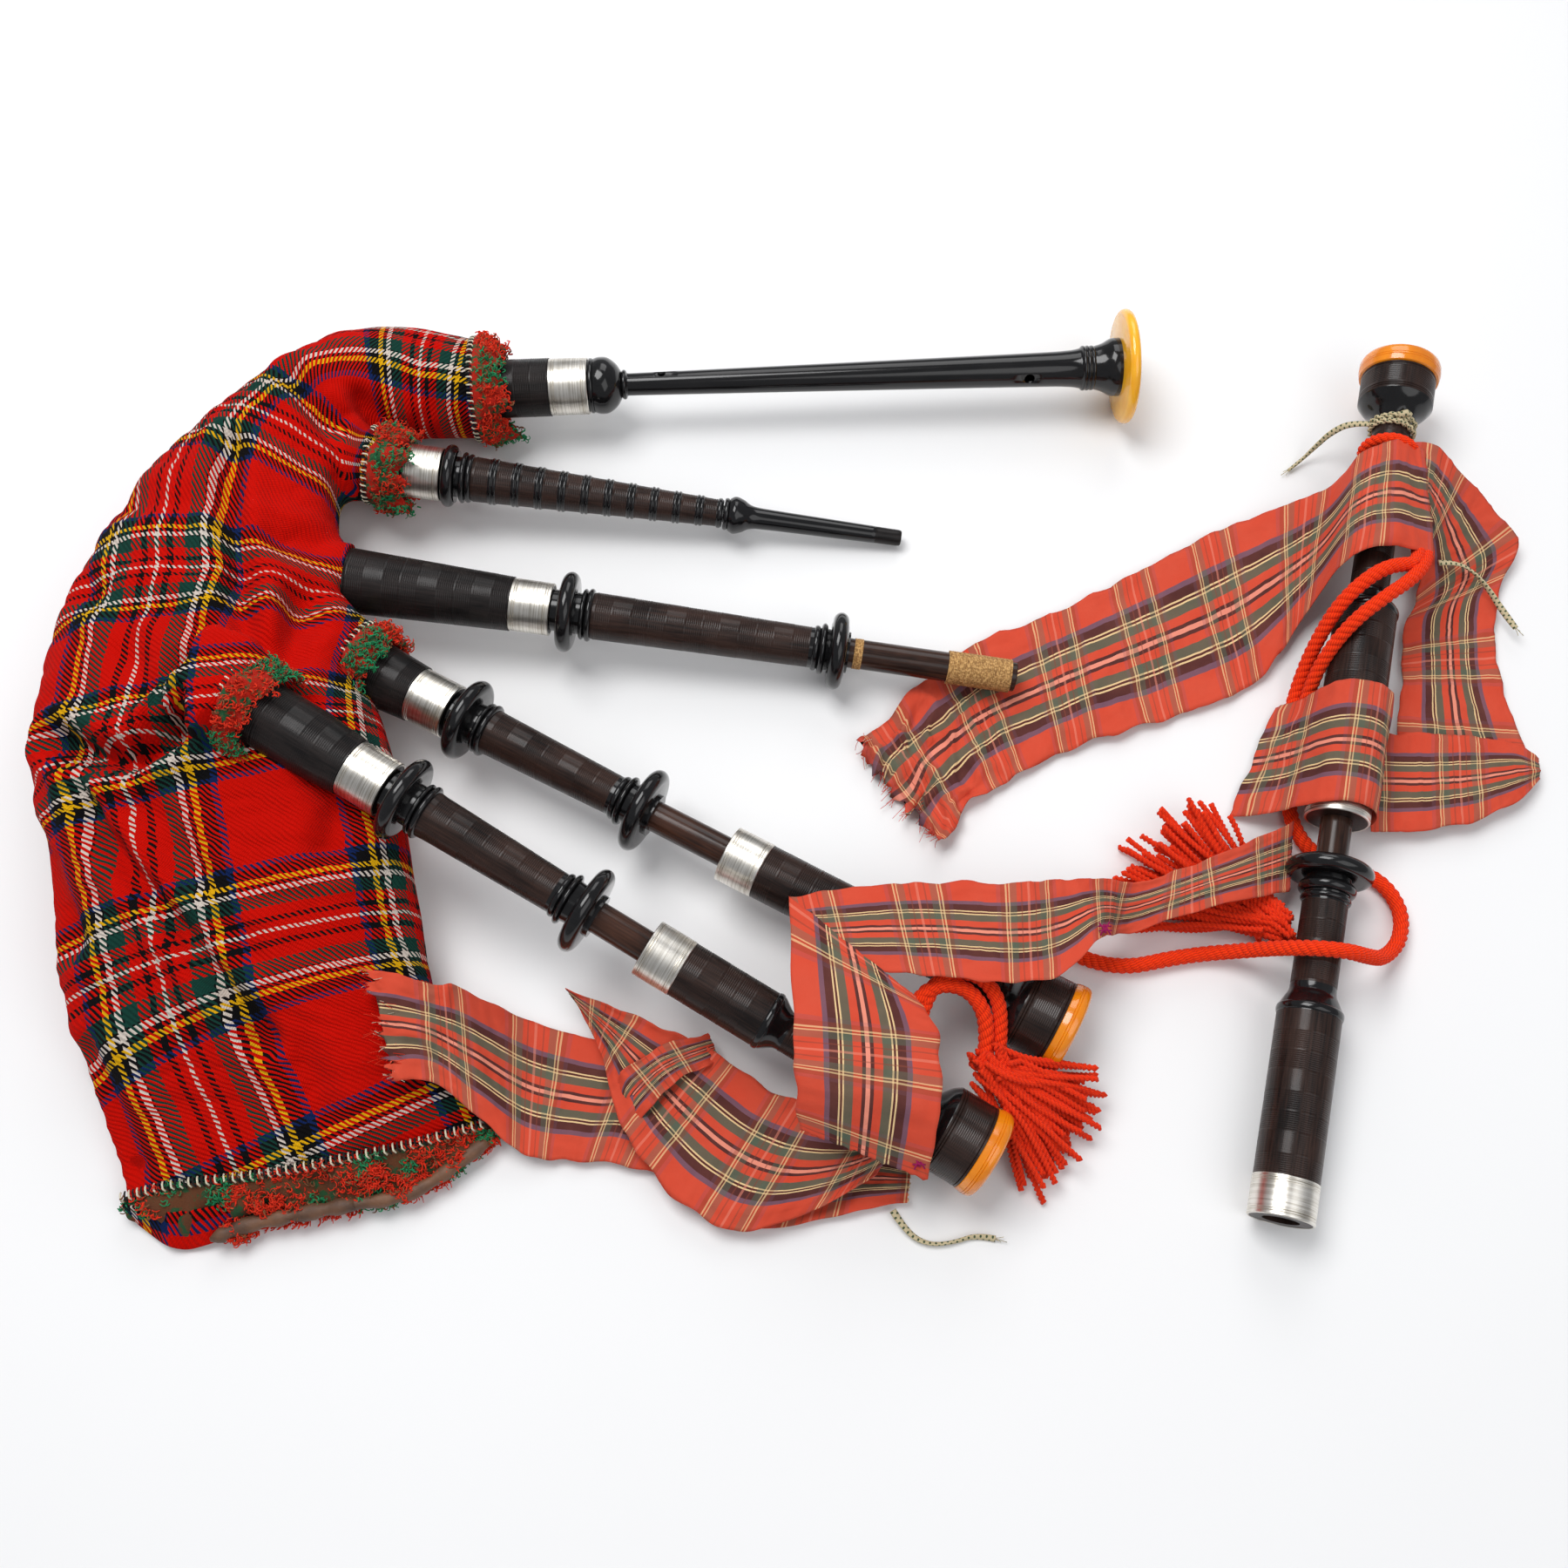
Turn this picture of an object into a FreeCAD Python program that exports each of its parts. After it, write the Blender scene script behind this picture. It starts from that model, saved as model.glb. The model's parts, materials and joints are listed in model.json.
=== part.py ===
import FreeCAD, Part

import math
import os

import Sketcher

# A set of Highland bagpipes laid down flat: the bag in its cover, five stocks, the chanter, the
# blowpipe, two tenor drones, and the bass drone, whose upper half lies apart on its ribbons.
# Millimetres, +Z up, the origin on the ground under the middle of the whole set.

Vector = FreeCAD.Vector

DIMENSIONS = (
    # stations along a pipe, from its datum to the mouth of its stock
    ("mouth", 160, "datum to the mouth of every stock"),
    ("tail", 10, "datum to the open lower end of the bass middle joint"),
    # what every stock and joint shares
    ("socket_radius", 9.5, "bore of every stock"),
    ("hemp_radius", 9.45, "outside of the hemp on every tenon"),
    ("tenon_radius", 8.9, "wood of every tenon"),
    ("tenon_length", 28, "how deep a joint sits in its stock"),
    ("tenon_hemp_margin", 4, "bare tenon at each end of its hemp"),
    ("shoulder_gap", 0.3, "between a stock's mouth and the shoulder of its joint"),
    ("drone_bore", 4.5, "air bore of the drones"),
    ("pin_radius", 8.6, "tuning pins"),
    ("pin_bore", 8.65, "chamber that slides on a tuning pin"),
    ("ferrule_wall", 1.2, "metal of every ferrule"),
    ("bell_wall", 1.4, "wood between a bell's hollow and its ring"),
    ("bell_lip", 1, "how far a bell's wood stops short of its ring's end"),
    ("bead_gap", 3, "end of a drone's body to its second bead"),
    ("bore_margin", 30, "chamber's bore beyond the tip of its pin"),
    ("reed_radius", 4, "tongue end of a drone reed"),
    ("reed_bore", 2.2, "inside of a drone reed"),
    ("bass_reed_radius", 5, "tongue end of the bass reed"),
    ("reed_seat", 10, "seat of a drone reed beyond its waist"),
    ("reed_taper", 4, "slope down to the waist"),
    ("reed_waist", 0.8, "depth of the waist"),
    ("collar_radius", 12, "seat under a projecting mount"),
    ("bead_round", 3.4, "radius of the small turned beads"),
    # chanter
    ("chanter_stock_length", 98, "overall"),
    ("chanter_stock_radius", 17.5, "outside"),
    ("chanter_ferrule_length", 23.5, "nickel sleeve"),
    ("chanter_ferrule_radius", 17, "outside"),
    ("bulb_round", 8.2, "round of the bulb below the stock"),
    ("bulb_start", 1, "mouth to the bulb"),
    ("chanter_neck_end", 25, "mouth to the thin end of the body"),
    ("chanter_neck_radius", 6.6, "thin end of the body"),
    ("chanter_body_end", 294, "mouth to the start of the flare"),
    ("chanter_body_radius", 10.6, "body where the flare starts"),
    ("chanter_flare_middle", 308, "mouth to the middle of the flare"),
    ("chanter_flare_radius", 13, "middle of the flare"),
    ("chanter_foot_start", 316, "mouth to the foot"),
    ("chanter_foot_radius", 17.6, "foot"),
    ("sole_start", 326, "mouth to the sole"),
    ("sole_thickness", 8, "sole"),
    ("sole_radius", 34.5, "sole"),
    ("sole_seat_radius", 12.5, "spigot that carries the sole"),
    ("chanter_bore_small", 2.6, "bore at the reed"),
    ("chanter_bore_large", 9.6, "bore at the foot"),
    ("chanter_reed_length", 38, "reed above the chanter"),
    ("chanter_reed_blade", 20, "blade of the reed"),
    ("chanter_reed_width", 5.6, "radius at the blade's tip"),
    ("chanter_reed_waist", 4, "radius under the blade"),
    ("chanter_reed_staple", 2.8, "radius of the staple"),
    ("chanter_reed_bore", 1.4, "inside of the reed"),
    ("thumb_hole_station", 45, "mouth to the thumb hole"),
    ("finger_hole_first", 60, "mouth to the first finger hole"),
    ("finger_hole_pitch", 26, "between finger holes"),
    ("finger_hole_radius", 2.6, "finger and thumb holes"),
    ("sound_hole_station", 270, "mouth to the sound holes"),
    ("sound_hole_radius", 3.2, "sound holes"),
    ("drill_length", 30, "every drill, from the axis outwards"),
    # blowpipe
    ("blowpipe_stock_length", 88, "overall"),
    ("blowpipe_stock_radius", 16.6, "outside"),
    ("blowpipe_ferrule_length", 21.5, "nickel sleeve"),
    ("blowpipe_ferrule_radius", 15.8, "outside"),
    ("blowpipe_mount_width", 8.6, "projecting mount"),
    ("blowpipe_mount_radius", 18.6, "projecting mount"),
    ("blowpipe_bead_start", 11.5, "mouth to the bead"),
    ("blowpipe_body_start", 20, "mouth to the body"),
    ("blowpipe_body_radius", 13.4, "body at the bead"),
    ("blowpipe_end", 169, "mouth to the end of the body"),
    ("blowpipe_end_radius", 7.8, "body at its end"),
    ("blowpipe_bore", 5.2, "air bore"),
    ("mouthpiece_tenon_radius", 5.15, "tenon of the mouthpiece"),
    ("mouthpiece_tenon_length", 20, "tenon of the mouthpiece"),
    ("mouthpiece_bore", 2.6, "air bore"),
    ("mouthpiece_bulb_round", 6.2, "bulb of the mouthpiece"),
    ("mouthpiece_gap", 0.4, "end of the blowpipe to the bulb"),
    ("mouthpiece_stem_start", 186, "mouth to the stem"),
    ("mouthpiece_stem_radius", 6.4, "stem at the bulb"),
    ("mouthpiece_end", 278, "mouth to the tip"),
    ("mouthpiece_tip_radius", 4.8, "tip"),
    ("valve_radius", 6.8, "leather flap"),
    ("valve_thickness", 1.4, "leather flap"),
    # bass drone, lower half
    ("bass_stock_length", 148, "overall"),
    ("bass_stock_radius", 18.8, "outside, inside the bag"),
    ("bass_stock_shoulder", 116, "mouth to the start of the taper"),
    ("bass_stock_mouth_radius", 15.8, "outside at the ferrule"),
    ("bass_ferrule_length", 23.4, "nickel sleeve"),
    ("bass_ferrule_radius", 15.2, "outside"),
    ("bass_reed_length", 95, "overall"),
    ("bass_lower_mount_start", 4.2, "mouth to the lower mount"),
    ("bass_mount_width", 10, "projecting mounts"),
    ("bass_lower_mount_radius", 23.3, "lower mount"),
    ("bass_bead_start", 17, "mouth to the bead"),
    ("bass_body_start", 25.5, "mouth to the body"),
    ("bass_body_radius", 13.7, "body at the bead"),
    ("bass_body_end", 150, "mouth to the end of the body"),
    ("bass_body_end_radius", 11.8, "body at its end"),
    ("bass_upper_mount_start", 161.5, "mouth to the upper mount"),
    ("bass_upper_mount_radius", 22.5, "upper mount"),
    ("bass_pin_start", 173, "mouth to the pin"),
    ("bass_pin_end", 271, "mouth to the tip of the pin"),
    ("bass_hemp_start", 231, "mouth to the hemp on the pin"),
    ("bass_hemp_end", 268, "mouth to the end of the hemp on the pin"),
    # tenor drones
    ("tenor_stock_length", 108, "overall"),
    ("tenor_stock_radius", 18.5, "outside, inside the bag"),
    ("tenor_stock_shoulder", 50, "mouth to the start of the taper"),
    ("tenor_stock_mouth_radius", 16.5, "outside at the ferrule"),
    ("tenor_ferrule_length", 23.5, "nickel sleeve"),
    ("tenor_ferrule_radius", 15.8, "outside"),
    ("tenor_reed_length", 62, "overall"),
    ("tenor_lower_mount_start", 4.5, "mouth to the lower mount"),
    ("tenor_mount_width", 10, "projecting mounts"),
    ("tenor_lower_mount_radius", 23.8, "lower mount"),
    ("tenor_bead_start", 18, "mouth to the bead"),
    ("tenor_body_start", 28, "mouth to the body"),
    ("tenor_body_radius", 12.9, "body at the bead"),
    ("tenor_body_end", 103, "mouth to the end of the body"),
    ("tenor_body_end_radius", 11.4, "body at its end"),
    ("tenor_upper_mount_start", 117, "mouth to the upper mount"),
    ("tenor_upper_mount_radius", 24.3, "upper mount"),
    ("tenor_pin_start", 129, "mouth to the pin"),
    ("tenor_pin_end", 234, "mouth to the tip of the pin"),
    ("tenor_1_top_start", 174.2, "mouth of the stock to the top joint of the first tenor"),
    ("tenor_2_top_start", 159, "mouth of the stock to the top joint of the second tenor"),
    # top joints
    ("top_ferrule_length", 21.5, "nickel sleeve"),
    ("tenor_top_ferrule_radius", 15.7, "outside"),
    ("tenor_chamber_radius", 15.4, "outside of the tuning chamber"),
    ("tenor_chamber_end", 77, "end of the chamber"),
    ("tenor_neck_start", 82, "start of the neck"),
    ("tenor_neck_radius", 10.5, "neck"),
    ("tenor_neck_end", 166, "start of the bell"),
    ("tenor_bell_shoulder", 177, "full width of the bell"),
    ("tenor_bell_radius", 22.8, "bell"),
    ("tenor_ring_start", 198, "start of the bell ring"),
    ("tenor_top_length", 208, "overall"),
    ("bell_ring_radius", 24, "bell rings"),
    ("bell_cavity_radius", 16.5, "hollow of a bell"),
    ("bell_cavity_depth", 22, "hollow of a bell"),
    # bass drone, upper half, stations from its lower end
    ("middle_ferrule_length", 21, "nickel sleeve"),
    ("middle_ferrule_radius", 17.2, "outside"),
    ("middle_chamber_radius", 17, "outside of the tuning chamber"),
    ("middle_chamber_end", 114.5, "end of the chamber"),
    ("middle_neck_start", 121, "start of the narrow body"),
    ("middle_neck_radius", 12.2, "narrow body"),
    ("middle_neck_end", 176, "end of the narrow body"),
    ("middle_bead_gap", 1.5, "end of the narrow body to its bead"),
    ("middle_mount_start", 186, "projecting mount"),
    ("middle_mount_width", 10, "projecting mount"),
    ("middle_mount_radius", 23.8, "projecting mount"),
    ("middle_pin_start", 198, "start of the pin"),
    ("middle_pin_end", 296, "tip of the pin"),
    ("middle_socket_depth", 102, "socket for the pin of the lower half"),
    ("bass_top_start", 222, "start of the top joint"),
    ("bass_top_ferrule_radius", 17.7, "outside"),
    ("bass_chamber_radius", 17.5, "outside of the tuning chamber"),
    ("bass_chamber_end", 134.5, "end of the chamber"),
    ("bass_neck_start", 141, "start of the neck"),
    ("bass_neck_radius", 11, "neck"),
    ("bass_neck_end", 264, "start of the bell"),
    ("bass_bell_shoulder", 274, "full width of the bell"),
    ("bass_bell_radius", 21.8, "bell"),
    ("bass_ring_start", 292.5, "start of the bell ring"),
    ("bass_top_length", 304.5, "overall"),
    ("bass_tie_start", 255, "tape tied round the neck"),
    ("bass_tie_width", 6, "tape tied round the neck"),
    ("bass_tie_thickness", 1.5, "tape tied round the neck"),
    # bag and cover
    ("cover_wall", 2.2, "cloth of the cover"),
    ("cover_gap", 0.5, "between the cover and the leather"),
    ("leather_wall", 2.6, "leather of the bag"),
    ("sleeve_wall", 3.2, "gathered cloth round a stock"),
    ("sleeve_gap", 1.4, "between a sleeve and its stock"),
    ("stock_seat_gap", 0.2, "between the leather and a stock"),
    ("tab_length", 22, "leather tab at the corner of the bag"),
    ("tab_width", 9, "leather tab at the corner of the bag"),
    ("tab_thickness", 3, "leather tab at the corner of the bag"),
    # soft goods
    ("ribbon_thickness", 2.4, "ribbons, folds included"),
    ("wrap_start", 225, "ribbon wound round the bass top joint"),
    ("wrap_end", 296, "ribbon wound round the bass top joint"),
    ("wrap_inner_radius", 18.5, "ribbon wound round the bass top joint"),
    ("cord_radius", 4.4, "twisted cord"),
    ("tape_radius", 1.5, "cotton tie tape"),
    ("tassel_head_radius", 7, "knot of a tassel"),
    ("tassel_length", 34, "skirt of the first tassel"),
    ("tassel_skirt_radius", 13, "skirt of the first tassel"),
    ("second_tassel_length", 62, "skirt of the second tassel"),
    ("second_tassel_skirt_radius", 13.5, "skirt of the second tassel"),
)

doc = FreeCAD.newDocument("bagpipes")
sheet = doc.addObject("Spreadsheet::Sheet", "Dims")
for row, (alias, amount, note) in enumerate(DIMENSIONS, start=1):
    sheet.set("A%d" % row, str(amount))
    sheet.setAlias("A%d" % row, alias)
    sheet.set("B%d" % row, note)
doc.recompute()


class Size:
    """A number worked out from the sheet, with the expression that works it out."""

    def __init__(self, amount, text):
        self.amount = amount
        self.text = text

    def combine(self, other, sign, result):
        text = other.text if isinstance(other, Size) else "%g" % other
        return Size(result, "(%s %s %s)" % (self.text, sign, text))

    def __add__(self, other):
        return self.combine(other, "+", self.amount + number(other))

    def __sub__(self, other):
        return self.combine(other, "-", self.amount - number(other))

    def __mul__(self, other):
        return self.combine(other, "*", self.amount * number(other))


class Sheet:
    """Reads the driving dimensions by name: dims.mouth is the cell with that alias."""

    amounts = {alias: amount for alias, amount, note in DIMENSIONS}

    def __getattr__(self, alias):
        return Size(self.amounts[alias], "Dims." + alias)


dims = Sheet()
NODES = {}


def number(size):
    return size.amount if isinstance(size, Size) else size


def bind(thing, prop, size):
    thing.setExpression(prop, size.text)


def node(label, thing):
    """Names a finished sub-part and keeps it for export."""
    thing.Label = label
    NODES[label] = thing
    return thing


class Pipe:
    """A straight pipe: a point on its axis, the way it aims, and the station of that point."""

    def __init__(self, point, aim, station):
        self.aim = Vector(*aim).normalize()
        self.datum = Vector(*point) - self.aim * number(station)
        turn = FreeCAD.Rotation(self.aim, Vector(0, 0, 0), Vector(0, 0, 1), "XZY")
        self.placement = FreeCAD.Placement(self.datum, turn)


CHANTER = Pipe((-135.3, 226.4, 35), (0.9991, 0.0429, 0), dims.mouth)
BLOWPIPE = Pipe((-219.7, 161.5, 37), (0.9898, -0.0933, -0.1077), dims.mouth)
BASS = Pipe((-149.5, 71.1, 36), (0.9897, -0.1257, -0.0683), dims.mouth)
TENOR_1 = Pipe((-200.4, 2.7, 43), (0.8851, -0.4633, -0.0438), dims.mouth)
TENOR_2 = Pipe((-222.8, -58.8, 80), (0.8567, -0.495, -0.145), dims.mouth)
BASS_UPPER = Pipe((238.2, -270.9, 18), (0.2392, 0.9703, 0.0366), dims.tail)


# --- turned pieces -----------------------------------------------------------------------------

LINE = "line"
BEAD = "bead"


def section(sketch, corners):
    """A closed outline. Each corner is (station, radius) or (station, radius, BEAD), and a bead
    is the half circle that reaches the corner from the one before it at the same radius."""
    count = len(corners)
    points = [Vector(number(c[0]), number(c[1]), 0) for c in corners]
    kinds = [c[2] if len(c) == 3 else LINE for c in corners]
    ends = []
    for index in range(count):
        start, stop = points[index - 1], points[index]
        if kinds[index] == BEAD:
            circle = Part.Circle((start + stop) * 0.5, Vector(0, 0, 1), abs(stop.x - start.x) / 2)
            sketch.addGeometry(Part.ArcOfCircle(circle, 0, math.pi), False)
            ends.append((2, 1))
        else:
            sketch.addGeometry(Part.LineSegment(start, stop), False)
            ends.append((1, 2))
    for index in range(count):
        following = (index + 1) % count
        pair = (index, ends[index][1], following, ends[following][0])
        sketch.addConstraint(Sketcher.Constraint("Coincident", *pair))
    for index, corner in enumerate(corners):
        place = (-1, 1, index, ends[index][1])
        fix(sketch, "DistanceX", place, corner[0])
        fix(sketch, "DistanceY", place, corner[1])
        if kinds[index] == BEAD:
            fix(sketch, "DistanceY", (-1, 1, index, 3), corner[1])


def fix(sketch, kind, place, size):
    where = sketch.addConstraint(Sketcher.Constraint(kind, *place, number(size)))
    if isinstance(size, Size):
        sketch.setExpression("Constraints[%d]" % where, size.text)


def revolved(label, corners):
    """A body in its pipe's own frame: the outline turned about the axis, which is local X."""
    body = doc.addObject("PartDesign::Body", label)
    sketch = body.newObject("Sketcher::SketchObject", label + "_section")
    plane = [item for item in body.Origin.OriginFeatures if item.Role == "XY_Plane"][0]
    sketch.AttachmentSupport = [(plane, "")]
    sketch.MapMode = "FlatFace"
    section(sketch, corners)
    turning = body.newObject("PartDesign::Revolution", label + "_turned")
    turning.Profile = sketch
    turning.ReferenceAxis = (sketch, ["H_Axis"])
    turning.Angle = 360
    return body


def turned(label, pipe, corners):
    body = revolved(label, corners)
    body.Placement = pipe.placement
    return node(label, body)


def tube(label, pipe, start, stop, outer, inner):
    return turned(label, pipe, [(start, inner), (start, outer), (stop, outer), (stop, inner)])


def rim(start, width, radius):
    """The corners of a mount's fully rounded rim, from its left face to its right one."""
    base = radius - width * 0.5
    return [(start, base), (start + width, base, BEAD)]


def mount_pair(label, pipe, mounts, seat):
    """One node with two solids: the projecting mounts at the two ends of a joint."""
    rings = []
    for side, (start, width, radius) in zip(("lower", "upper"), mounts):
        name = "%s_%s" % (label, side)
        corners = [(start, seat)] + rim(start, width, radius) + [(start + width, seat)]
        rings.append(revolved(name, corners))
    pair = doc.addObject("Part::Compound", label)
    pair.Links = rings
    pair.Placement = pipe.placement
    return node(label, pair)


def mount(label, pipe, start, width, radius, seat):
    corners = [(start, seat)] + rim(start, width, radius) + [(start + width, seat)]
    return turned(label, pipe, corners)


def stock(name, pipe, length, radius, shoulder, mouth_radius, ferrule_length, ferrule_radius):
    """A stock and the ferrule on its mouth. The shoulder is where its taper starts."""
    seat = ferrule_radius - dims.ferrule_wall
    start = dims.mouth - length
    lip = dims.mouth - ferrule_length
    corners = [(start, dims.socket_radius), (start, radius), (dims.mouth - shoulder, radius)]
    corners += [(lip, mouth_radius), (lip, seat), (dims.mouth, seat)]
    corners += [(dims.mouth, dims.socket_radius)]
    turned(name + "_stock", pipe, corners)
    tube(name + "_stock_ferrule", pipe, lip, dims.mouth, ferrule_radius, seat)


def tenon_hemp(label, pipe):
    start = dims.mouth - dims.tenon_length + dims.tenon_hemp_margin
    stop = dims.mouth - dims.tenon_hemp_margin
    return tube(label, pipe, start, stop, dims.hemp_radius, dims.tenon_radius)


def reed(label, pipe, length, radius, bore):
    """A drone reed: a cane tube with a bound waist, seated in the tenon of its joint."""
    stop = dims.mouth - dims.tenon_length
    start = stop - length
    waist = stop - dims.reed_seat
    corners = [(start, bore), (start, radius), (waist - dims.reed_taper, radius)]
    corners += [(waist, radius - dims.reed_waist), (stop, radius), (stop, bore)]
    return turned(label, pipe, corners)


# --- chanter and blowpipe ----------------------------------------------------------------------

# The chanter lies with its thumb hole on top, a little towards the blowpipe.
THUMB_ANGLE = -22
FINGER_HOLES = 7


def hole(name, station, radius, angle):
    """A drill from the axis outwards, at an angle about the pipe from straight up."""
    drill = doc.addObject("Part::Cylinder", name)
    bind(drill, "Radius", radius)
    bind(drill, "Height", dims.drill_length)
    turn = FreeCAD.Rotation(Vector(1, 0, 0), angle)
    drill.Placement = FreeCAD.Placement(Vector(number(station), 0, 0), turn)
    return drill


def chanter():
    mouth = dims.mouth
    end = mouth + dims.sole_start + dims.sole_thickness
    bulb_end = mouth + dims.bulb_start + dims.bulb_round * 2
    corners = [(mouth - dims.tenon_length, dims.chanter_bore_small)]
    corners += [(mouth - dims.tenon_length, dims.tenon_radius)]
    corners += [(mouth + dims.bulb_start, dims.tenon_radius), (bulb_end, dims.tenon_radius, BEAD)]
    corners += [(mouth + dims.chanter_neck_end, dims.chanter_neck_radius)]
    corners += [(mouth + dims.chanter_body_end, dims.chanter_body_radius)]
    corners += [(mouth + dims.chanter_flare_middle, dims.chanter_flare_radius)]
    corners += [(mouth + dims.chanter_foot_start, dims.chanter_foot_radius)]
    corners += [(mouth + dims.sole_start, dims.chanter_foot_radius)]
    corners += [(mouth + dims.sole_start, dims.sole_seat_radius), (end, dims.sole_seat_radius)]
    corners += [(end, dims.chanter_bore_large)]
    body = revolved("chanter_turning", corners)
    radius = dims.finger_hole_radius
    holes = [hole("thumb_hole", mouth + dims.thumb_hole_station, radius, THUMB_ANGLE)]
    for count in range(FINGER_HOLES):
        station = mouth + dims.finger_hole_first + dims.finger_hole_pitch * count
        holes.append(hole("finger_hole_%d" % count, station, radius, THUMB_ANGLE + 180))
    for side in (90, -90):
        holes.append(hole("sound_hole_%d" % side, mouth + dims.sound_hole_station,
                          dims.sound_hole_radius, THUMB_ANGLE + side))
    drills = doc.addObject("Part::MultiFuse", "chanter_holes")
    drills.Shapes = holes
    drilled = doc.addObject("Part::Cut", "chanter")
    drilled.Base = body
    drilled.Tool = drills
    drilled.Placement = CHANTER.placement
    node("chanter", drilled)

    sole = [(mouth + dims.sole_start, dims.sole_seat_radius)]
    sole += rim(mouth + dims.sole_start, dims.sole_thickness, dims.sole_radius)
    sole += [(end, dims.sole_seat_radius)]
    turned("chanter_sole", CHANTER, sole)

    stop = mouth - dims.tenon_length
    start = stop - dims.chanter_reed_length
    bore = dims.chanter_reed_bore
    cane = [(start, bore), (start, dims.chanter_reed_width)]
    cane += [(start + dims.chanter_reed_blade, dims.chanter_reed_waist)]
    cane += [(stop, dims.chanter_reed_staple), (stop, bore)]
    turned("chanter_reed", CHANTER, cane)
    tenon_hemp("chanter_hemp", CHANTER)


def blowpipe():
    mouth = dims.mouth
    start = mouth - dims.tenon_length
    shoulder = mouth + dims.shoulder_gap
    mount_end = shoulder + dims.blowpipe_mount_width
    bead_start = mouth + dims.blowpipe_bead_start
    end = mouth + dims.blowpipe_end
    corners = [(start, dims.blowpipe_bore), (start, dims.hemp_radius)]
    corners += [(shoulder, dims.hemp_radius), (shoulder, dims.collar_radius)]
    corners += [(bead_start, dims.collar_radius)]
    corners += [(bead_start + dims.bead_round * 2, dims.collar_radius, BEAD)]
    corners += [(mouth + dims.blowpipe_body_start, dims.blowpipe_body_radius)]
    corners += [(end, dims.blowpipe_end_radius), (end, dims.blowpipe_bore)]
    turned("blowpipe", BLOWPIPE, corners)
    ring = [(shoulder, dims.collar_radius)]
    ring += rim(shoulder, dims.blowpipe_mount_width, dims.blowpipe_mount_radius)
    ring += [(mount_end, dims.collar_radius)]
    turned("blowpipe_mount", BLOWPIPE, ring)

    bulb_start = end + dims.mouthpiece_gap
    bulb_end = bulb_start + dims.mouthpiece_bulb_round * 2
    corners = [(end - dims.mouthpiece_tenon_length, dims.mouthpiece_bore)]
    corners += [(end - dims.mouthpiece_tenon_length, dims.mouthpiece_tenon_radius)]
    corners += [(bulb_start, dims.mouthpiece_tenon_radius)]
    corners += [(bulb_end, dims.mouthpiece_tenon_radius, BEAD)]
    corners += [(mouth + dims.mouthpiece_stem_start, dims.mouthpiece_stem_radius)]
    corners += [(mouth + dims.mouthpiece_end, dims.mouthpiece_tip_radius)]
    corners += [(mouth + dims.mouthpiece_end, dims.mouthpiece_bore)]
    turned("mouthpiece", BLOWPIPE, corners)

    flap = doc.addObject("Part::Cylinder", "blowpipe_valve")
    bind(flap, "Radius", dims.valve_radius)
    bind(flap, "Height", dims.valve_thickness)
    lift = dims.valve_thickness + dims.shoulder_gap
    inner = FreeCAD.Placement(Vector(number(start - lift), 0, 0),
                              FreeCAD.Rotation(Vector(0, 1, 0), 90))
    flap.Placement = BLOWPIPE.placement.multiply(inner)
    node("blowpipe_valve", flap)


# --- drones ------------------------------------------------------------------------------------


def bottom_joint(name, pipe, upper, bead_start, body, pin):
    """The wood of a drone's bottom joint: tenon, two mount seats, two beads, body and pin.
    upper is the upper mount's start, body is (start, radius, end, end radius) and pin is
    (start, end), all as stations from the mouth."""
    mouth = dims.mouth
    start = mouth - dims.tenon_length
    shoulder = mouth + dims.shoulder_gap
    seat = dims.collar_radius
    body_start, body_radius, body_end, body_end_radius = body
    second_bead = mouth + body_end + dims.bead_gap
    corners = [(start, dims.drone_bore), (start, dims.tenon_radius)]
    corners += [(shoulder, dims.tenon_radius), (shoulder, seat)]
    corners += [(mouth + bead_start, seat)]
    corners += [(mouth + bead_start + dims.bead_round * 2, seat, BEAD)]
    corners += [(mouth + body_start, body_radius), (mouth + body_end, body_end_radius)]
    corners += [(second_bead, body_end_radius)]
    corners += [(second_bead + dims.bead_round * 2, body_end_radius, BEAD)]
    corners += [(mouth + upper, body_end_radius), (mouth + upper, seat)]
    corners += [(mouth + pin[0], seat), (mouth + pin[0], dims.pin_radius)]
    corners += [(mouth + pin[1], dims.pin_radius), (mouth + pin[1], dims.drone_bore)]
    turned(name, pipe, corners)


def bass_bottom():
    body = (dims.bass_body_start, dims.bass_body_radius)
    body += (dims.bass_body_end, dims.bass_body_end_radius)
    pin = (dims.bass_pin_start, dims.bass_pin_end)
    lower, upper = dims.bass_lower_mount_start, dims.bass_upper_mount_start
    bottom_joint("bass_bottom_joint", BASS, upper, dims.bass_bead_start, body, pin)
    mounts = ((dims.mouth + lower, dims.bass_mount_width, dims.bass_lower_mount_radius),
              (dims.mouth + upper, dims.bass_mount_width, dims.bass_upper_mount_radius))
    mount_pair("bass_bottom_mounts", BASS, mounts, dims.collar_radius)
    tenon_start = dims.mouth - dims.tenon_length + dims.tenon_hemp_margin
    tenon_end = dims.mouth - dims.tenon_hemp_margin
    pin_start, pin_end = dims.mouth + dims.bass_hemp_start, dims.mouth + dims.bass_hemp_end
    windings = []
    for part, start, stop, wood in (("tenon", tenon_start, tenon_end, dims.tenon_radius),
                                    ("pin", pin_start, pin_end, dims.pin_radius)):
        outline = [(start, wood), (start, dims.hemp_radius), (stop, dims.hemp_radius)]
        windings.append(revolved("bass_hemp_" + part, outline + [(stop, wood)]))
    hemp = doc.addObject("Part::Compound", "bass_hemp")
    hemp.Links = windings
    hemp.Placement = BASS.placement
    node("bass_hemp", hemp)
    reed("bass_reed", BASS, dims.bass_reed_length, dims.bass_reed_radius, dims.reed_bore)


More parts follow.
